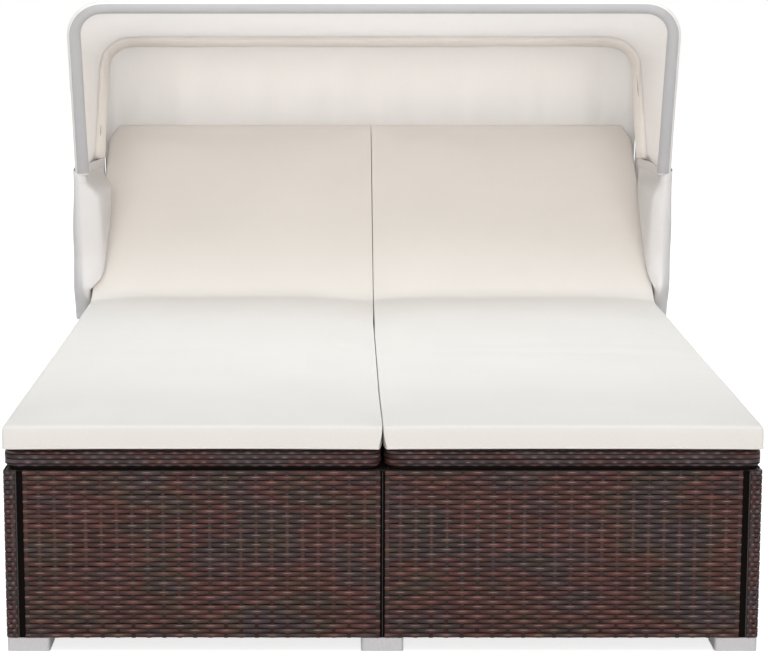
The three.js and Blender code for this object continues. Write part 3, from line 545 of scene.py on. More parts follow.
def strands(to_world, length, height, rows, uprights, samples, look, seed, loop=False, calm=1.0):
    """Rows of flat strands that swing in and out. Returns points, quads and places."""
    dice = np.random.RandomState(seed)
    pitch = height / rows
    count = uprights * samples + (0 if loop else 1)
    u = np.arange(count) * length / (uprights * samples)
    row = np.arange(rows)[:, None]
    swing = np.cos(math.pi * u[None, :] * uprights / length + math.pi * row)
    swing = np.sign(swing) * np.abs(swing) ** 0.75
    drift = soft_waves(seed, u[None, :], row * 0.35) * STRAND_DRIFT
    depth = look.wave * calm * swing + dice.uniform(-STRAND_JITTER, STRAND_JITTER, (rows, 1))
    wide = pitch * look.strand / look.pitch
    v = (row + 0.5) * pitch + drift
    flat = np.zeros((rows, count, len(ACROSS)))
    points = to_world(u[None, :, None] + flat, v[..., None] + ACROSS * wide + flat,
                      depth[..., None] + OUTWARD * look.thickness + flat)
    index = np.arange(flat.size).reshape(flat.shape)
    quads = [grid_quads(index, loop, True)]
    if not loop:
        quads += [index[:, 0, ::-1], index[:, -1]]
    place = np.stack([u[None, :, None] + seed * 3.7 + flat, row[..., None] + ACROSS * ROW_SHARE + flat,
                      swing[..., None] + flat], -1)
    return points.reshape(-1, 3), np.concatenate(quads), place.reshape(-1, 3)


def upright_strands(to_world, height, spots, look, seed):
    """Straight flat strands that cross the rows."""
    v = np.array([0.0, height])[None, :, None]
    spots = np.asarray(spots)[:, None, None]
    flat = np.zeros((len(spots), 2, len(ACROSS)))
    points = to_world(spots + ACROSS * look.upright + flat, v + flat, OUTWARD * UPRIGHT_THICKNESS + flat)
    index = np.arange(flat.size).reshape(flat.shape)
    around = np.concatenate([index, index[..., :1]], 2)
    sides = [around[:, 0, :-1], around[:, 0, 1:], around[:, 1, 1:], around[:, 1, :-1]]
    quads = np.concatenate([np.stack(sides, -1).reshape(-1, 4), index[:, 0, ::-1], index[:, 1, :]])
    numbers = UPRIGHT_ROW + seed + np.arange(len(spots))[:, None, None]
    place = np.stack([v + flat, numbers + ACROSS * ROW_SHARE + flat, UPRIGHT_SHADE_DEPTH + flat], -1)
    return points.reshape(-1, 3), quads, place.reshape(-1, 3)


def woven_piece(name, body, nodes, parts, cores=(), wrapped=False):
    """One woven skin: each part is turned outwards on its own, then all are joined."""
    points, quads, places, of_face, start = [], [], [], [], 0
    for number, group in enumerate((parts, cores)):
        for spots, faces, place in group:
            if enclosed_volume(spots, faces) < 0:
                faces = faces[:, ::-1]
            points.append(spots)
            quads.append(faces + start)
            places.append(place)
            of_face.append(np.full(len(faces), number))
            start += len(spots)
    points, quads, places, of_face = (np.concatenate(group) for group in (points, quads, places, of_face))
    finish = strand_finish("wrap_strands" if wrapped else "weave_strands", wrapped)
    piece = add_piece(name, points, quads, [finish, shade_core_finish("weave_core")], places, of_face)
    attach(piece, body)
    if nodes:
        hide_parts(*nodes)


def flat_surface(origin, along, up, out):
    """Maps metres along, up and out of a flat skin to the frame."""
    origin, along, up, out = (np.array(v, float) for v in (origin, along, up, out))
    return lambda u, v, d: origin + u[..., None] * along + v[..., None] * up + d[..., None] * out


def painted_shade_sheet(surface, reach, height, depth=0.0, front=-0.0021, back=-0.0031):
    """A thin dark sheet of painted shade behind the strands, so that nothing shows through between them."""
    u, v = np.meshgrid(reach, [height - depth, height - GAP], indexing="ij")
    layers = [surface(u, v, np.full_like(u, layer)).reshape(-1, 3) for layer in (front, back)]
    a, b, c, d = 0, 2, 3, 1
    quads = [[a, b, c, d], [a + 4, d + 4, c + 4, b + 4]]
    for one, two in ((a, b), (b, c), (c, d), (d, a)):
        quads.append([one, one + 4, two + 4, two])
    points = np.concatenate(layers)
    return points, np.array(quads), points * 0.0


def flat_panel(node, origin, along, out, seed, trims, spread):
    """A woven panel. Its strands stop short of its ends by the trims; spread takes its dark sheets of painted
    shade past them.
    """
    look = bpy.context.scene.daybed_weave
    low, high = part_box(node)
    height = high.z - low.z
    full = abs((high - low).dot(Vector(along)))
    length = full - sum(trims)
    uprights = round(length / look.upright_pitch)
    start = np.array(origin, float) + np.array(along, float) * trims[0]
    surface = flat_surface(start, along, (0, 0, 1), out)
    spots = (np.arange(uprights + 1) * length / uprights).clip(look.upright / 2, length - look.upright / 2)
    parts = [strands(surface, length, height, round(height / look.pitch), uprights, 4, look, seed),
             upright_strands(surface, height, spots, look, seed)]
    surface = flat_surface(origin, along, (0, 0, 1), out)
    reach = (-spread[0], full + spread[1])
    # Two dark sheets of painted shade: one behind the whole panel and a thicker one along its top.
    cores = [painted_shade_sheet(surface, reach, height, height - 0.0004),
             painted_shade_sheet(surface, reach, height, 0.0028, -0.0006, -0.0058)]
    woven_piece(f"woven_{node}", "base", [node], parts, cores)


def rounded_loop(corners, closed, radius=TUBE_BEND, bend_steps=6):
    """A path of straight runs with rounded corners, as points in a plane."""
    corners = [np.array(c, float) for c in corners]
    count = len(corners)
    path = [] if closed else [corners[0]]
    for i in (range(count) if closed else range(1, count - 1)):
        here, before, after = corners[i], corners[i - 1], corners[(i + 1) % count]
        into, onward = unit(before - here), unit(after - here)
        for k in range(bend_steps + 1):
            t = k / bend_steps
            path.append(here + into * radius * (1 - t) ** 2 + onward * radius * t ** 2)
    if not closed:
        path.append(corners[-1])
    return np.array(path)


def tube_surface(path, closed, half, corner, origin, across, along, up):
    """Maps metres along a path, around its rounded square section, and out of it, to the frame."""
    if closed:
        path = np.concatenate([path, path[:1]])
    gone = lengths_along(path)
    heading = unit(np.diff(path, axis=0))
    flat = half - corner
    side_length = 2 * flat + math.pi / 2 * corner
    origin, across, along, up = (np.array(v, float) for v in (origin, across, along, up))

    def surface(u, v, d):
        u = np.mod(u, gone[-1]) if closed else np.clip(u, 0, gone[-1])
        spot = np.stack([np.interp(u, gone, path[:, k]) for k in range(2)], -1)
        middles = (gone[:-1] + gone[1:]) / 2
        ways = [np.interp(u, middles, heading[:, k], period=gone[-1] if closed else None) for k in range(2)]
        way = unit(np.stack(ways, -1))
        side = np.stack([way[..., 1], -way[..., 0]], -1)
        run = np.mod(v, 4 * side_length) / side_length
        past = np.mod(run, 1) * side_length
        turn = np.clip((past - 2 * flat) / corner, 0, math.pi / 2)
        a = np.where(past < 2 * flat, half, flat + corner * np.cos(turn)) + np.cos(turn) * d
        b = np.where(past < 2 * flat, flat - np.clip(past, 0, 2 * flat), -flat - corner * np.sin(turn))
        b = b - np.sin(turn) * d
        angle = -(np.floor(run).astype(int) % 4) * math.pi / 2
        out, lift = a * np.cos(angle) - b * np.sin(angle), a * np.sin(angle) + b * np.cos(angle)
        spot = spot + side * out[..., None]
        return origin + spot[..., :1] * across + spot[..., 1:] * along + lift[..., None] * up

    return surface, gone[-1], 4 * side_length


def wrapped_tube(name, body, nodes, path, closed, origin, axes, seed, rest=0.0):
    """A tube wrapped in strands that run along it, over a dark core of painted shade. rest is how far the
    core's underside drops, so that the dark core fills the gap below the tube as painted shade.
    """
    look = bpy.context.scene.daybed_weave
    rows, samples, core_sides = 12, 3, 16
    skin = TUBE_HALF - TUBE_SKIN
    surface, length, around = tube_surface(path, closed, skin, TUBE_CORNER - TUBE_SKIN, origin, *axes)
    uprights = 2 * round(length / (0.46 * look.upright_pitch) / 2)
    parts = [strands(surface, length, around, rows, uprights, samples, look, seed, closed, 0.8)]
    core, length, around = tube_surface(path, closed, skin - 0.0022, 0.004, origin, *axes)
    steps = max(8, round(length / 0.012))
    u = np.arange(steps + (0 if closed else 1)) * length / steps
    v = np.arange(core_sides) * around / core_sides
    u, v = np.meshgrid(u, v, indexing="ij")
    spots = core(u, v, np.zeros_like(u))
    # Painted shade: the dark core's underside is lowered to fill the gap under the tube.
    spots[..., 2] -= rest * (spots[..., 2] < origin[2] - 0.002)
    index = np.arange(u.size).reshape(u.shape)
    quads = [grid_quads(index, closed, True)]
    if not closed:
        for end, way in ((index[0], -1), (index[-1], 1)):
            quads.append(np.stack([end[0:7], end[1:8], end[14:7:-1], end[15:8:-1]], -1)[:, ::way])
    place = np.stack([u, v * 100, np.zeros_like(u)], -1)
    cores = [(spots.reshape(-1, 3), np.concatenate(quads), place.reshape(-1, 3))]
    woven_piece(name, body, nodes, parts, cores, True)


class DAYBED_OT_woven_panels(bpy.types.Operator):
    """Weaves the front, rear and side panels of the base"""
    bl_idname = "daybed.woven_panels"
    bl_label = "Woven Panels"

    def execute(self, context):
        for number, (end, sign) in enumerate(ENDS):
            for side, hand in SIDES:
                node = f"{end}_panel_{side}"
                low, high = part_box(node)
                face = low.y + SKIN_INSET if sign < 0 else high.y - SKIN_INSET
                trims, spread = (0.0026, 0.0062), (0.0010, 0.0050)
                if hand < 0:
                    trims, spread = trims[::-1], spread[::-1]
                flat_panel(node, (low.x, face, low.z), (1, 0, 0), (0, sign, 0), 1 + number * 2 + (hand > 0),
                           trims, spread)
        for side, hand in SIDES:
            node = f"side_panel_{side}"
            low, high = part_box(node)
            face = low.x + SKIN_INSET if hand < 0 else high.x - SKIN_INSET
            flat_panel(node, (face, low.y, low.z), (0, 1, 0), (hand, 0, 0), 6 + (hand > 0),
                       (0.002, 0.002), (0.0045, 0.0045))
        return {"FINISHED"}


class DAYBED_OT_corner_wraps(bpy.types.Operator):
    """Wraps the four corner posts in short strands"""
    bl_idname = "daybed.corner_wraps"
    bl_label = "Corner Wraps"

    def execute(self, context):
        look = context.scene.daybed_weave
        radius, reach = 0.0045, 0.0215
        run = reach - SKIN_INSET - radius
        bend = math.pi / 2 * radius
        length = 2 * run + bend
        for number, (end, sign) in enumerate(ENDS):
            for side, hand in SIDES:
                node = f"corner_wrap_{end}_{side}"
                low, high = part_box(node)
                x = (high.x if hand > 0 else low.x) - hand * SKIN_INSET
                y = (high.y if sign > 0 else low.y) - sign * SKIN_INSET

                def surface(u, v, d, x=x, y=y, hand=hand, sign=sign, low=low):
                    turn = np.clip((u - run) / radius, 0, math.pi / 2)
                    first, last = np.clip(run - u, 0, None), np.clip(u - run - bend, 0, None)
                    cx, cy = x - hand * radius, y - sign * radius
                    px = cx - hand * first + hand * np.sin(turn) * (radius + d)
                    py = cy - sign * last + sign * np.cos(turn) * (radius + d)
                    return np.stack([px, py, low.z + v], -1)

                height = high.z - low.z
                seed = 11 + number * 2 + (hand > 0)
                parts = [strands(surface, length, height, round(height / look.pitch), 6, 5, look, seed),
                         upright_strands(surface, height, [0.004, length - 0.004], look, seed)]
                woven_piece(f"woven_{node}", "base", [node], parts, wrapped=True)
        return {"FINISHED"}


class DAYBED_OT_wrapped_frames(bpy.types.Operator):
    """Wraps the seat rings and the backrest frames, and finishes the decks"""
    bl_idname = "daybed.wrapped_frames"
    bl_label = "Wrapped Frames"

    def execute(self, context):
        cos, sin = math.cos(RAISED), math.sin(RAISED)
        flat = ((1, 0, 0), (0, 1, 0), (0, 0, 1))
        raised = ((1, 0, 0), (0, cos, sin), (0, -sin, cos))
        top = BACK_LENGTH - TUBE_HALF
        panel_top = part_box("front_panel_left")[1].z
        for side, hand in SIDES:
            low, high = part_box(f"seat_frame_{side}")
            x0, x1, y0, y1 = low.x + TUBE_HALF, high.x - TUBE_HALF, low.y + TUBE_HALF, high.y - TUBE_HALF
            ring = rounded_loop([(x0, y0), (x1, y0), (x1, y1), (x0, y1)], True)
            wrapped_tube(f"wrapped_seat_frame_{side}", "base", [f"seat_frame_{side}"], ring, True,
                         (0, 0, (low.z + high.z) / 2), flat, 21 + (hand > 0),
                         low.z - panel_top + TUBE_HALF - 0.0111)
            legs = rounded_loop([(x0, BACK_LEG), (x0, top), (x1, top), (x1, BACK_LEG)], False)
            wrapped_tube(f"wrapped_back_frame_{side}", f"{side}_backrest", [], legs, False,
                         (0, HINGE.y, HINGE.z), raised, 31 + (hand > 0))
            dress_node(f"back_frame_{side}", shade_core_finish("weave_core"))
            for part in ("seat", "back"):
                dress_node(f"{part}_deck_{side}", deck_finish("weave_deck"))
        return {"FINISHED"}


# Pads

PAD_WIDTH, PAD_END, PAD_GAP = 0.6492, 0.6449, 0.0001
PAD_LIFT = 0.002
PAD_INNERMOST, PAD_OUTERMOST = 0.00006, 0.6502
TAPER, TAPER_RUN = 0.019, 0.068
ROLL = 0.0012
SMALL_ROLLS = ((1.285, 0.0005), (1.335, 0.0006), (1.39, 0.0004))
NOTCH, LEAN, LEAN_FIRST, SLIT = 0.0085, 0.0036, 0.0019, 0.0011
WELT_LIMIT, WELT_OUT = 0.0019, 0.0004
FILLING = {
    "quality": 4, "mass": 0.3, "tension_stiffness": 12, "compression_stiffness": 12, "shear_stiffness": 6,
    "bending_stiffness": 0.6, "use_pressure": True,
}


def edge_stations(length, look):
    """Places along one side of a pad, close together on its rounded edges."""
    near = look.edge * np.array([0, 0.14, 0.52, 1.0])
    inner = np.linspace(near[-1], length - near[-1], max(2, round((length - 2 * near[-1]) / look.step)) + 1)
    return np.concatenate([near[:-1], inner, (length - near[:-1])[::-1]])


def surface_lattice(*sides):
    """Points and quads of a box's skin, with points at the given stations on its sides."""
    shape = tuple(len(s) for s in sides)
    faces = [(slice(None),) * axis + (end,) for axis in range(3) for end in (0, -1)]
    rim = np.zeros(shape, bool)
    for face in faces:
        rim[face] = True
    index = np.full(shape, -1)
    index[rim] = np.arange(rim.sum())
    points = np.stack(np.meshgrid(*sides, indexing="ij"), -1)[rim]
    quads = []
    for number, face in enumerate(faces):
        flat = grid_quads(index[face])
        quads.append(flat if number in (1, 2, 5) else flat[:, ::-1])
    return points, np.concatenate(quads), index


def pad_course(look):
    """Where a pad's underside would turn if it weren't rounded, and how far before that its bend begins."""
    corner_y = HINGE.y - (CUSHION.z + PAD_LIFT - HINGE.z) * math.tan(RAISED / 2)
    return corner_y, look.bend * math.tan(RAISED / 2)


def pad_bend(s, h, look):
    """Maps metres along a pad's underside and up from it to Y and Z, bent where the backrest starts."""
    corner_y, tangent = pad_course(look)
    first = corner_y - tangent - CUSHION.y
    turn = np.clip((s - first) / look.bend, 0, RAISED)
    past = np.clip(s - first - look.bend * RAISED, 0, None)
    y = CUSHION.y + np.minimum(s, first) + look.bend * np.sin(turn) + past * math.cos(RAISED)
    z = CUSHION.z + PAD_LIFT + look.bend * (1 - np.cos(turn)) + past * math.sin(RAISED)
    return np.stack([y - h * np.sin(turn), z + h * np.cos(turn)], -1), turn


def pad_shape(hand, look):
    """The start shape of one long pad, a little smaller than it ends up."""
    thick = look.thickness - 0.001
    corner_y, tangent = pad_course(look)
    length = corner_y - CUSHION.y + PAD_END - 2 * tangent + look.bend * RAISED
    up = np.concatenate([look.edge * np.array([0, 0.35, 0.8]), [thick * 0.5],
                         thick - look.edge * np.array([0.6, 0.14, 0])])
    square, quads, index = surface_lattice(edge_stations(PAD_WIDTH, look), edge_stations(length, look), up)
    size = np.array([PAD_WIDTH, length, thick])
    inner = np.clip(square, look.edge, size - look.edge)
    points = inner + unit(square - inner) * look.edge
    pressed = points[:, :1] if hand > 0 else PAD_WIDTH - points[:, :1]
    points = points + (square - points) * 0.95 * np.clip(1 - pressed / look.edge, 0, 1)
    u, v, w = (points / size * 2 - 1).T
    crown = look.crown * (1 - u ** 4) * (1 - v ** 8) * np.clip(w, 0, 1)
    pulled = look.draw * (1 - v ** 2) * (hand * u).clip(0) ** 3
    taper = smooth_step((points[:, 1] - length + TAPER_RUN) / TAPER_RUN) ** 1.3
    pulled += TAPER * taper * (hand * u).clip(0) ** 2
    off_middle = points[:, 0] - PAD_WIDTH / 2
    x = (np.abs(off_middle) - pulled).clip(0) * np.sign(off_middle)
    s = points[:, 1] - np.sign(v) * look.draw * (1 - u ** 2) * np.abs(v) ** 60 * 0.5
    h = points[:, 2] + crown
    waves = soft_waves(40 + hand, x * 0.8, s) * 0.0011 * smooth_step(w) * (1 - np.abs(v) ** 12)
    roll = ROLL * hump(s - 0.70 - 0.03 * np.sin(5 * x + hand), 0.030)
    roll += 0.0013 * hump(s - 0.63 + 0.05 * x * hand, 0.024) * (hand > 0)
    for fold, deep in SMALL_ROLLS:
        roll += deep * hump(s - fold - 0.006 * np.sin(9 * x + fold * 40 * hand), 0.014)
    h = h + waves - roll * smooth_step(w)
    yz, turn = pad_bend(s, h.clip(0.0002), look)
    inner = np.clip(0.5 - hand * x / PAD_WIDTH, 0, 1)
    x = x + hand * NOTCH * np.clip(1 - h / 0.042, 0, 1) ** 2 * np.exp(-s / 0.030) * inner ** 12
    seam = LEAN * smooth_step((s - 0.9) / 0.45) - LEAN_FIRST * smooth_step(s / 0.32)
    slit = hand * SLIT * hump(s - 1.06, 0.09)
    middle = hand * (PAD_GAP + PAD_WIDTH / 2)
    world = np.column_stack([middle + x + seam * inner + slit * inner ** 6, yz])
    up_way = np.column_stack([np.zeros_like(turn), -np.sin(turn), np.cos(turn)])
    place = np.column_stack([x + hand, s + h * 0.5, h])
    return world, quads, index, place, up_way, h, seam + slit


def swell(piece, start, up_way, height, seam, hand, look):
    """Lets the filling push the cover out, no further than the most swell, and keeps its underside flat."""
    scene = bpy.context.scene
    cloth = piece.modifiers.new("Filling", "CLOTH")
    for key, value in FILLING.items():
        setattr(cloth.settings, key, value)
    cloth.settings.uniform_pressure_force = look.pressure
    cloth.settings.effector_weights.gravity = 0
    cloth.collision_settings.use_collision = False
    cloth.point_cache.frame_start, cloth.point_cache.frame_end = 1, look.frames
    for step in range(1, look.frames + 1):
        scene.frame_set(step)
    moved = points_of(evaluated(piece)) - start
    piece.modifiers.remove(cloth)
    scene.frame_set(1)
    moved = moved * look.swell / (look.swell + np.linalg.norm(moved, axis=1, keepdims=True))
    outward = np.sign(start[:, 0] - start[:, 0].mean())
    moved[:, 0] *= np.where(moved[:, 0] * outward < 0, 0.04, 1.0)
    at_foot = start[:, 1] < start[:, 1].min() + 0.02
    moved[:, 1] *= np.where(at_foot & (moved[:, 1] > 0), 0.1, 1.0)
    rise = (moved * up_way).sum(1)
    lifted = np.maximum(height + rise, 0.0) - height
    points = start + (moved + up_way * (lifted - rise)[:, None])
    points[:, 0] = hand * np.clip(hand * points[:, 0], PAD_INNERMOST + hand * seam, PAD_OUTERMOST)
    piece.data.vertices.foreach_set("co", np.ascontiguousarray(points, np.float32).ravel())
    piece.data.update()


def round_cord(name, path, radius, finish, sides=8):
    """A closed ring of round cord along a path of points."""
    ahead = unit(np.roll(path, -1, 0) - np.roll(path, 1, 0))
    side = unit(np.cross(ahead, np.array([0, 0.35, 1.0])))
    up = np.cross(side, ahead)
    angle = np.arange(sides) * math.tau / sides
    ring = side[:, None] * np.cos(angle)[:, None] + up[:, None] * np.sin(angle)[:, None]
    points = path[:, None] + ring * radius
    index = np.arange(len(path) * sides).reshape(len(path), sides)
    gone = np.arange(len(path)) * 0.012
    place = np.stack(np.broadcast_arrays(gone[:, None], angle * 0.002, 0.0), -1)
    return add_piece(name, points, grid_quads(index, True, True), [finish], place.reshape(-1, 3))


class DAYBED_OT_pads(bpy.types.Operator):
    """Makes the two long pads, lets their filling swell, and sews the welt on"""
    bl_idname = "daybed.pads"
    bl_label = "Pads"

    def execute(self, context):
        look = context.scene.daybed_pads
        for side, hand in SIDES:
            start, quads, index, place, up_way, height, seam = pad_shape(hand, look)
            pad = add_piece(f"pad_{side}", start, quads, [pad_cloth()], place)
            swell(pad, start, up_way, height, seam, hand, look)
            refine(pad)
            ring = index[:, :, 1]
            ring = np.concatenate([ring[:-1, 0], ring[-1, :-1], ring[:0:-1, -1], ring[0, :0:-1]])
            path = points_of(pad)[ring]
            path = (np.roll(path, 1, 0) + 2 * path + np.roll(path, -1, 0)) / 4
            path = path + unit((path - path.mean(0)) * (1, 0.2, 0)) * WELT_OUT
            path[:, 0] = hand * np.maximum(hand * path[:, 0], look.welt - WELT_LIMIT)
            welt = round_cord(f"pad_welt_{side}", path, look.welt, pad_cloth())
            for piece in (pad, welt):
                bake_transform(piece)
            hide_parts(f"seat_cushion_{side}", f"back_cushion_{side}")
        return {"FINISHED"}


# Hood

SLEEVE_GAP = 0.0006
STRETCH = 1.12
CURTAIN_DROP, CURTAIN_OUT = 0.66, 0.0019
THICK_HEM, FLAP_HEM = 1.9, 1.7
FLAP_INSIDE, FLAP_OUTSIDE = 0.0108, 0.0132
FLAP_LOWEST, FLAP_LAP, FLAP_SHORT = 0.004, 0.011, 0.012
BULGE_LEFT, BULGE_RIGHT = 0.036, 0.018
# The flap's course, from behind the rear leg along the inside, round the front leg and back outside. Each
# row holds the share of the way to the front leg, the shift past it, and how much the cloth swings ahead, is
# sewn away from the hoops, bulges inwards, flares outwards, laps over the roof's hem and is cut short.
FLAP_KEYS = np.array((
    (0, 0.014, 0, 0, 0, 0, 0, 1),
    (0, 0.005, 0, 0, 0, 0, 0, 1),
    (0, -0.016, 0, 0.1, 0.35, 0, 0, 1),
    (0.26, 0, 0, 0.85, 0.85, 0, 0, 1),
    (0.50, 0, 0.15, 1, 1, 0, 0, 1),
    (0.74, 0, 0.5, 0.85, 0.95, 0, 0, 1),
    (1, 0.016, 0.95, 0.1, 0.8, 0, 0, 1),
    (1, -0.002, 1, 0, 0.35, 0, 0, 1),
    (1, -0.0116, 1, 0, 0, 0, 0, 0.7),
    (1, -0.011, 0.85, 0, 0, 0, 0.4, 0.3),
    (1, 0, 0.6, 0, 0, 0.45, 1, 0),
    (0.86, 0, 0.35, 0, 0, 1, 1, 0),
    (0.6, 0, 0.15, 0, 0, 0.9, 1, 0),
    (0.3, 0, 0, 0, 0, 0.4, 1, 0),
    (0, -0.004, 0, 0, 0, 0, 1, 0),
    (0, 0.0135, 0, 0, 0, 0, 1, 0),
))


def on_hoop(lean, x, arm):
    """A place on a hoop's plane, given by its x and its height along the arm."""
    x, arm = np.broadcast_arrays(np.asarray(x, float), np.asarray(arm, float))
    return np.stack([x, PIVOT.y + arm * math.sin(lean), PIVOT.z + arm * math.cos(lean)], -1)


def arch(look, hem_arm, leg_steps=9, bend_steps=8, bar_steps=14):
    """The hoop's middle line from one hem over the bar to the other, as x and arm."""
    bend_x, bend_h = look.hoop_x - look.bend, look.arm - look.bend
    leg = np.linspace(hem_arm, bend_h, leg_steps + 1)[:-1]
    turn = np.linspace(math.pi, math.pi / 2, bend_steps + 1)[:-1]
    bar = np.linspace(-bend_x, 0, bar_steps + 1)
    x = np.concatenate([np.full(leg_steps, -look.hoop_x), -bend_x + look.bend * np.cos(turn), bar])
    h = np.concatenate([leg, bend_h + look.bend * np.sin(turn), np.full(len(bar), look.arm)])
    return np.concatenate([x, -x[-2::-1]]), np.concatenate([h, h[-2::-1]])


def hoop_lines(look):
    leans = -look.front_lean, look.rear_lean
    front, rear = (on_hoop(lean, *arch(look, look.hem / math.cos(lean))) for lean in leans)
    chord = unit(rear - front)
    out = unit(np.cross(chord, unit(np.gradient((front + rear) / 2, axis=0))))
    return front, rear, chord, out * (-1 if out[len(out) // 2, 2] < 0 else 1)


def hood_shell(name, grid, cloth, place, hem=None):
    thickness = bpy.context.scene.daybed_hood.thickness
    return cloth_shell(name, grid, thickness, [hood_cloth(cloth)], place, thick=hem)


def hood_piece(node):
    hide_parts(node)


def hood_blend(piece):
    """Bakes the cloth's placement into its points."""
    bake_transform(piece)


class DAYBED_OT_roof(bpy.types.Operator):
    """Sews the roof: one sheet over both hoops, with a sleeve round each"""
    bl_idname = "daybed.roof"
    bl_label = "Hood Roof"

    def execute(self, context):
        look = context.scene.daybed_hood
        front, rear, chord, out = hoop_lines(look)
        count = len(front)
        around = look.tube + SLEEVE_GAP + look.thickness / 2
        bar = smooth_step((np.sin(np.pi * np.arange(count) / (count - 1)) - 0.35) / 0.4)
        wavy = soft_waves(5, front[:, 0] * 2.5, front[:, 2] * 2.0)
        rows, kinds, seams = [], [], []

        def add(line, ahead, up, kind, seam=0.0):
            """One row of points; kind is 1 on the front sleeve's grey band, partly painted shade, 2 on the
            rear sleeve, painted lighter, and 0 elsewhere.
            """
            rows.append(line + chord * np.asarray(ahead)[..., None] + out * np.asarray(up)[..., None])
            kinds.append(kind)
            seams.append(seam)

        add(front, look.lip, around - 0.0024, 0)
        add(front, look.lip * 0.66, around - 0.0060, 0, 1.0)
        add(front, look.lip * 0.38, around * -0.2, 0)
        level = np.abs(np.gradient(front[:, 0])) / np.linalg.norm(np.gradient(front, axis=0), axis=1)
        above, inside = 1 + 0.50 * level, 1.75 - 0.72 * level
        # The front and underside of this wrap take the grey tone, partly painted shade; the lit top keeps the
        # hood cloth.
        for turn in np.linspace(200, 0, 14):
            angle = math.radians(turn)
            reach = around * (above if math.cos(angle) > 0 else inside)
            add(front, -STRETCH * around * math.sin(angle), reach * math.cos(angle),
                1 if 62 < turn < 185 else 0, 1.0 if 50 < turn < 64 else 0.0)
        long = np.linalg.norm(rear - front, axis=1)
        for v in np.arange(1, 18) / 18:
            slack = np.sin(math.pi * v) ** 2
            dip = look.sag * slack * bar + 0.0025 * slack * (1 - bar)
            crease = 0.0022 * slack * soft_waves(9, front[:, 0] + front[:, 2], long * v)
            add(front + (rear - front) * v, 0.0, around - dip + crease, 0)
        loose = np.clip(1.20 + 0.13 * wavy, 1.06, 1.4)
        # Where the cloth wraps under the rear hoop it takes the paler sleeve tone, painted light against its
        # shade.
        for turn in np.linspace(0, 290, 17):
            angle = math.radians(turn)
            low = max(0.0, -math.cos(angle))
            ahead = STRETCH * around * math.sin(angle) * (1 + 0.25 * wavy * (turn > 200))
            add(rear, ahead, around * math.cos(angle) * (1 + low * (loose - 1)), 2 if turn > 100 else 0)
        add(rear, -look.lip * (0.44 + 0.05 * wavy), around - 0.0046, 2, 0.6)
        add(rear, -look.lip * 0.64, around - 0.0028, 0)
        add(rear, -look.lip * 0.84, around - 0.0018, 0)
        grid = np.stack(rows, 1)
        along = lengths_along(grid[count // 2])
        place = np.stack(np.broadcast_arrays(lengths_along(front)[:, None], along, np.array(seams)), -1)
        of_face = np.broadcast_to(np.array(kinds), grid.shape[:2])
        hem = np.ones(grid.shape[:2])
        hem[:2] = hem[-2:] = THICK_HEM
        hem[:, -2:] = [0.9, 0.5]
        finishes = [hood_cloth(name) for name in ("hood_cloth", "hood_binding", "hood_sleeve", "roof_cloth")]
        roof = cloth_shell("canopy_roof", grid, look.thickness, finishes, place, of_face, hem, 3)
        refine(roof)
        hood_blend(roof)
        hood_piece("roof_canopy")
        return {"FINISHED"}


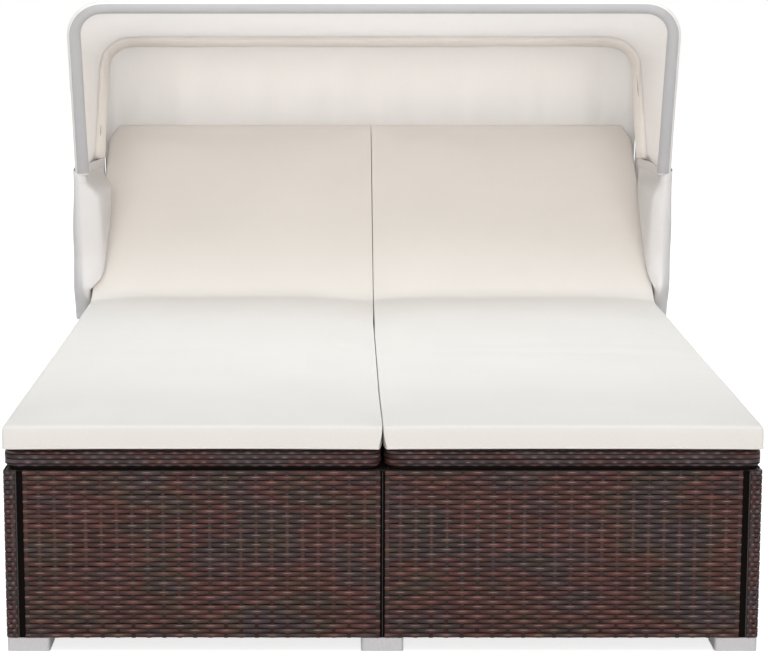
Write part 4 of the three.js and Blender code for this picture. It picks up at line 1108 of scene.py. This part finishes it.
class DAYBED_OT_curtain(bpy.types.Operator):
    """Hangs the rear curtain and the gussets at its sides"""
    bl_idname = "daybed.curtain"
    bl_label = "Rear Curtain"

    def execute(self, context):
        look = context.scene.daybed_hood
        low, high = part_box("rear_curtain")
        off = (look.tube + GAP) / math.cos(look.rear_lean)
        pieces = [("rear_curtain", self.curtain(look, low, high, off), (1.344, CURTAIN_DROP), None)]
        for side, hand in SIDES:
            gusset = self.gusset(look, hand, side, low, high, off)
            pieces.append((f"rear_gusset_{side}", gusset, (0.52, 0.63), 0.19))
        for node, piece, flat, area in pieces:
            refine(piece)
            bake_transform(piece)
            hood_piece(node)
        return {"FINISHED"}

    def curtain(self, look, low, high, off):
        folds, columns, rows = 11, 132, 26
        reach = look.hoop_x + look.tube
        x = np.linspace(-reach, reach, columns + 1)
        past = np.clip(np.abs(x) - (look.hoop_x - look.bend), 0, look.bend)
        arm = look.arm - look.bend + np.sqrt(look.bend ** 2 - past ** 2)
        top = on_hoop(look.rear_lean, x, arm) + np.array([0, off + CURTAIN_OUT, 0])
        bottom = np.stack([x, np.full_like(x, high.y - 0.0009), np.full_like(x, low.z + 0.0004)], -1)
        share = np.linspace(0, 1, rows + 1)
        belly = np.sin(math.pi * share)
        sway = soft_waves(3, x * 1.5, 0 * x) * 0.9
        fold = np.sin(math.tau * folds * (x + reach) / (2 * reach) + sway)[:, None] * belly * 0.0065
        small = soft_waves(4, x[:, None] * 1.6, share[None, :] * 0.35) * 0.0015 * belly
        grid = top[:, None] + (bottom - top)[:, None] * share[None, :, None]
        grid[..., 1] += fold + small
        place = np.stack(np.broadcast_arrays(x[:, None], share * CURTAIN_DROP, 0.0), -1)
        hem = np.ones(grid.shape[:2])
        hem[:, -3:] = THICK_HEM
        return hood_shell("hood_curtain", grid, "curtain_cloth", place, hem)

    def gusset(self, look, hand, side, low, high, off):
        columns, rows = 20, 26
        high_arm = look.arm - look.bend
        rise = np.linspace(0, 1, rows + 1)[None, :]
        share = np.linspace(0, 1, columns + 1)[:, None]
        arm = look.gusset_arm + (high_arm - look.gusset_arm) * rise
        leg = on_hoop(look.rear_lean, 0, arm) + np.array([0, 0.0009, 0])
        top = on_hoop(look.rear_lean, 0, high_arm) + np.array([0, off, 0])
        bottom = np.array([0, high.y - 0.0025, low.z + 0.0125])
        back = bottom + (top - bottom) * rise[..., None]
        grid = leg * (1 - share[..., None]) + back * share[..., None]
        across, up = np.sin(math.pi * share), np.sin(math.pi * rise)
        ripple = soft_waves(51 + hand, share * 0.5, rise * 0.6) * 0.0012 * across * up
        grid[..., 0] = hand * (look.hoop_x + look.tube + GAP + 0.0012 + (0.003 * across ** 2 * up + ripple))
        place = np.stack(np.broadcast_arrays(grid[..., 1], grid[..., 2], 0.0), -1)
        return hood_shell(f"hood_gusset_{side}", grid, "curtain_cloth", place)


def pad_top(y):
    """How high the pads' top lies at a given y."""
    look = bpy.context.scene.daybed_pads
    line = pad_bend(np.linspace(0.5, 1.99, 150), look.thickness + look.crown + 0.002, look)[0]
    return np.interp(y, line[:, 0], line[:, 1])


class DAYBED_OT_flaps(bpy.types.Operator):
    """Hangs a flap at each side, folded round both legs of the hoops"""
    bl_idname = "daybed.flaps"
    bl_label = "Side Flaps"

    def execute(self, context):
        look = context.scene.daybed_hood
        for side, hand in SIDES:
            flap = self.flap(look, hand, side)
            refine(flap)
            hood_blend(flap)
            hood_piece(f"side_flap_{side}")
        return {"FINISHED"}

    def flap(self, look, hand, side):
        rows, fine = 34, 4
        lean_in = BULGE_RIGHT if hand > 0 else BULGE_LEFT
        drop = np.linspace(0, 1, rows + 1)
        inner, outer = look.hoop_x - FLAP_INSIDE, look.hoop_x + FLAP_OUTSIDE
        share, shift, ahead, between, bulge, flared, lapped, cut = FLAP_KEYS.T[..., None]
        top = look.hem + (FLAP_LOWEST + FLAP_LAP * lapped)
        height = top * (1 - drop) + (look.hem + 0.015 - look.flap + FLAP_SHORT * cut) * drop
        front = PIVOT.y - height * math.tan(look.front_lean)
        rear = PIVOT.y + height * math.tan(look.rear_lean)
        flare = (0.004 + 0.009 * smooth_step(drop * 2.2)) * (1.0 if hand > 0 else 1.25)
        y = rear - (rear - front) * share + shift - 0.050 * ahead * hump(height - 0.115, 0.050)
        sewn = 0.0198 * between * (1 - smooth_step((drop - 0.035) / 0.10))
        bulge = bulge * smooth_step((drop - 0.05) / 0.12)
        base = np.array([0.6600, *[inner] * 6, inner + 0.0008, 0.6600, 0.6700, *[outer] * 6])[:, None] + sewn
        fineness = np.arange((len(base) - 1) * fine + 1) / fine

        def smooth(values):
            """Rounded course through the key points."""
            values = np.broadcast_to(values, (len(base), rows + 1))
            padded = np.concatenate([2 * values[:1] - values[1:2], values, 2 * values[-1:] - values[-2:-1]])
            k = np.minimum(fineness.astype(int), len(base) - 2)
            t = (fineness - k)[:, None]
            a, b, c, d = (padded[k + i] for i in range(4))
            square, cube = 2 * a - 5 * b + 4 * c - d, 3 * b - a - 3 * c + d
            return 0.5 * (2 * b + (c - a) * t + square * t ** 2 + cube * t ** 3)

        y, height = smooth(y), smooth(height)
        clear = smooth_step((PIVOT.z + height - pad_top(y) - 0.0005) / 0.011)
        ripple = soft_waves(61 + hand, y * 1.4, height * 1.2)
        x = smooth(base) + smooth(flare * flared) - smooth(lean_in * bulge) * clear * (1 + 0.08 * ripple)
        x = x + 0.0012 * ripple * smooth(flared)
        grid = np.stack([hand * x, y, PIVOT.z + height], -1)
        seam = np.zeros(grid.shape[:2])
        seam[:, [2, -3]] = 1.0
        place = np.stack(np.broadcast_arrays(lengths_along(grid[:, rows // 2])[:, None], height, seam), -1)
        hem = np.ones(grid.shape[:2])
        hem[:, -2:] = hem[:, :2] = FLAP_HEM
        return hood_shell(f"hood_flap_{side}", grid, "flap_cloth", place, hem)


# Metal and moulded parts


class DAYBED_OT_hard_parts(bpy.types.Operator):
    """Finishes the metal and moulded parts, which keep their shape"""
    bl_idname = "daybed.hard_parts"
    bl_label = "Metal and Moulded Parts"

    def execute(self, context):
        look = context.scene.daybed_frame
        groups = (
            (("base_frame", "hinge_bracket", "notch_rack", "hood_plate"),
             ("frame_coat", look.frame_coat, 0.5)),
            (("front_hoop", "rear_hoop"), ("hoop_coat", look.hoop_coat, 0.45)),
            (("hinge_rod", "prop_stay", "hood_bolt", "hood_washer"),
             ("zinc", look.zinc, 0.34, 1.0, 240.0, 0.00003)),
            (("foot_",), ("foot_moulding", look.foot, 0.6, 0.0, 420.0, 0.00008)),
            (("hood_knob",), ("knob_moulding", look.knob, 0.5, 0.0, 420.0, 0.00008)),
        )
        for starts, settings in groups:
            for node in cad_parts:
                if node.startswith(starts):
                    dress_node(node, coat_finish(*settings))
        return {"FINISHED"}


# Stage

LAMPS = {
    "top": ((7.5, 6.5), (0, -1.2, 8.6), (0, -0.2, 0.4), (0.80, 0.91, 1.0)),
    "near": ((2.0, 0.35), (0, -0.75, 1.32), (0, 0.8, 0.72), (1.0, 0.985, 0.96)),
    "front": ((10.0, 4.0), (0, -17.0, 3.2), (0, 0.4, 0.7), (1.0, 0.975, 0.94)),
}
CAMERA_SPOT, CAMERA_SHIFT, CAMERA_REACH = (-0.06734, -4.66043, 1.20222), (0.05303, -0.05), 60
FLOOR_REACH, FLOOR_DEPTH = 14, 0.02


class DAYBED_OT_stage(bpy.types.Operator):
    """Sets the floor, the room light, three soft lamps and the camera"""
    bl_idname = "daybed.stage"
    bl_label = "Stage"

    def execute(self, context):
        scene, look = context.scene, context.scene.daybed_stage
        steps = np.linspace(-FLOOR_REACH, FLOOR_REACH, 9)
        x, y = np.meshgrid(steps, steps, indexing="ij")
        middle = np.stack([x, y, np.full_like(x, -FLOOR_DEPTH / 2)], -1)
        cloth_shell("floor", middle, FLOOR_DEPTH, [self.floor_finish(look)])
        scene.world = self.room(look)
        for name, settings in LAMPS.items():
            self.add_lamp(scene, f"{name}_lamp", getattr(look, name), *settings)
        lens = bpy.data.cameras.new("camera")
        lens.sensor_width, lens.lens, lens.clip_end = 36, look.lens, CAMERA_REACH
        lens.shift_x, lens.shift_y = CAMERA_SHIFT
        camera = bpy.data.objects.new("camera", lens)
        camera.location = CAMERA_SPOT
        camera.rotation_euler = (math.pi / 2 - look.pitch, 0, 0)
        scene.collection.objects.link(camera)
        scene.camera = camera
        scene.view_settings.view_transform = "Standard"
        return {"FINISHED"}

    def add_lamp(self, scene, name, power, size, spot, aim, tint):
        lamp = bpy.data.lights.new(name, "AREA")
        lamp.energy, lamp.shape, lamp.size, lamp.size_y = power, "RECTANGLE", *size
        lamp.color = tint
        holder = bpy.data.objects.new(name, lamp)
        holder.location = spot
        holder.rotation_euler = (Vector(aim) - Vector(spot)).to_track_quat("-Z", "Y").to_euler()
        scene.collection.objects.link(holder)

    def floor_finish(self, look):
        """A plain pale floor that looks as white as the room and still takes the shadow."""
        made = Finish("stage_floor")
        colour = made.mix(made.noise(made.solid_place(), 3.0), tone(look.floor, 0.99), look.floor)
        glow = made.times(made.seen_directly(), 0.75)
        return made.finish(Base_Color=colour, Roughness=0.8, Emission_Color=(1, 1, 1), Emission_Strength=glow)

    def room(self, look):
        """White where it is seen, and a soft even light for the rest."""
        world = bpy.data.worlds.new("room")
        world.use_nodes = True
        made = Nodes(world.node_tree)
        strength = made.add("ShaderNodeMapRange", Value=made.seen_directly(), To_Min=look.ambient, To_Max=1.0)
        back = made.nodes["Background"]
        made.join((1, 1, 1), back.inputs["Color"])
        made.join(strength.outputs[0], back.inputs["Strength"])
        return world


# Panel and registration


STEPS = (
    DAYBED_OT_stage, DAYBED_OT_hard_parts, DAYBED_OT_woven_panels, DAYBED_OT_corner_wraps,
    DAYBED_OT_wrapped_frames, DAYBED_OT_pads, DAYBED_OT_roof, DAYBED_OT_curtain, DAYBED_OT_flaps,
)


class DAYBED_PT_panel(bpy.types.Panel):
    """Lists the daybed's sizes, colours and steps"""
    bl_idname = "DAYBED_PT_panel"
    bl_label = "Daybed"
    bl_space_type = "VIEW_3D"
    bl_region_type = "UI"
    bl_category = "Daybed"

    def draw(self, context):
        for step in STEPS:
            self.layout.operator(step.bl_idname)
        for name in GROUPS:
            group = getattr(context.scene, name)
            box = self.layout.box()
            box.label(text=name.replace("_", " ").title())
            for key in group.bl_rna.properties.keys():
                if key not in ("rna_type", "name"):
                    box.prop(group, key)


CLASSES = (*GROUPS.values(), *STEPS, DAYBED_PT_panel)


def register():
    for kind in CLASSES:
        bpy.utils.register_class(kind)
    for name, kind in GROUPS.items():
        setattr(bpy.types.Scene, name, PointerProperty(type=kind))


def unregister():
    for name in GROUPS:
        delattr(bpy.types.Scene, name)
    for kind in reversed(CLASSES):
        bpy.utils.unregister_class(kind)


def main():
    register()
    for step in STEPS:
        group, name = step.bl_idname.split(".")
        getattr(getattr(bpy.ops, group), name)()


if __name__ == "__main__":
    main()
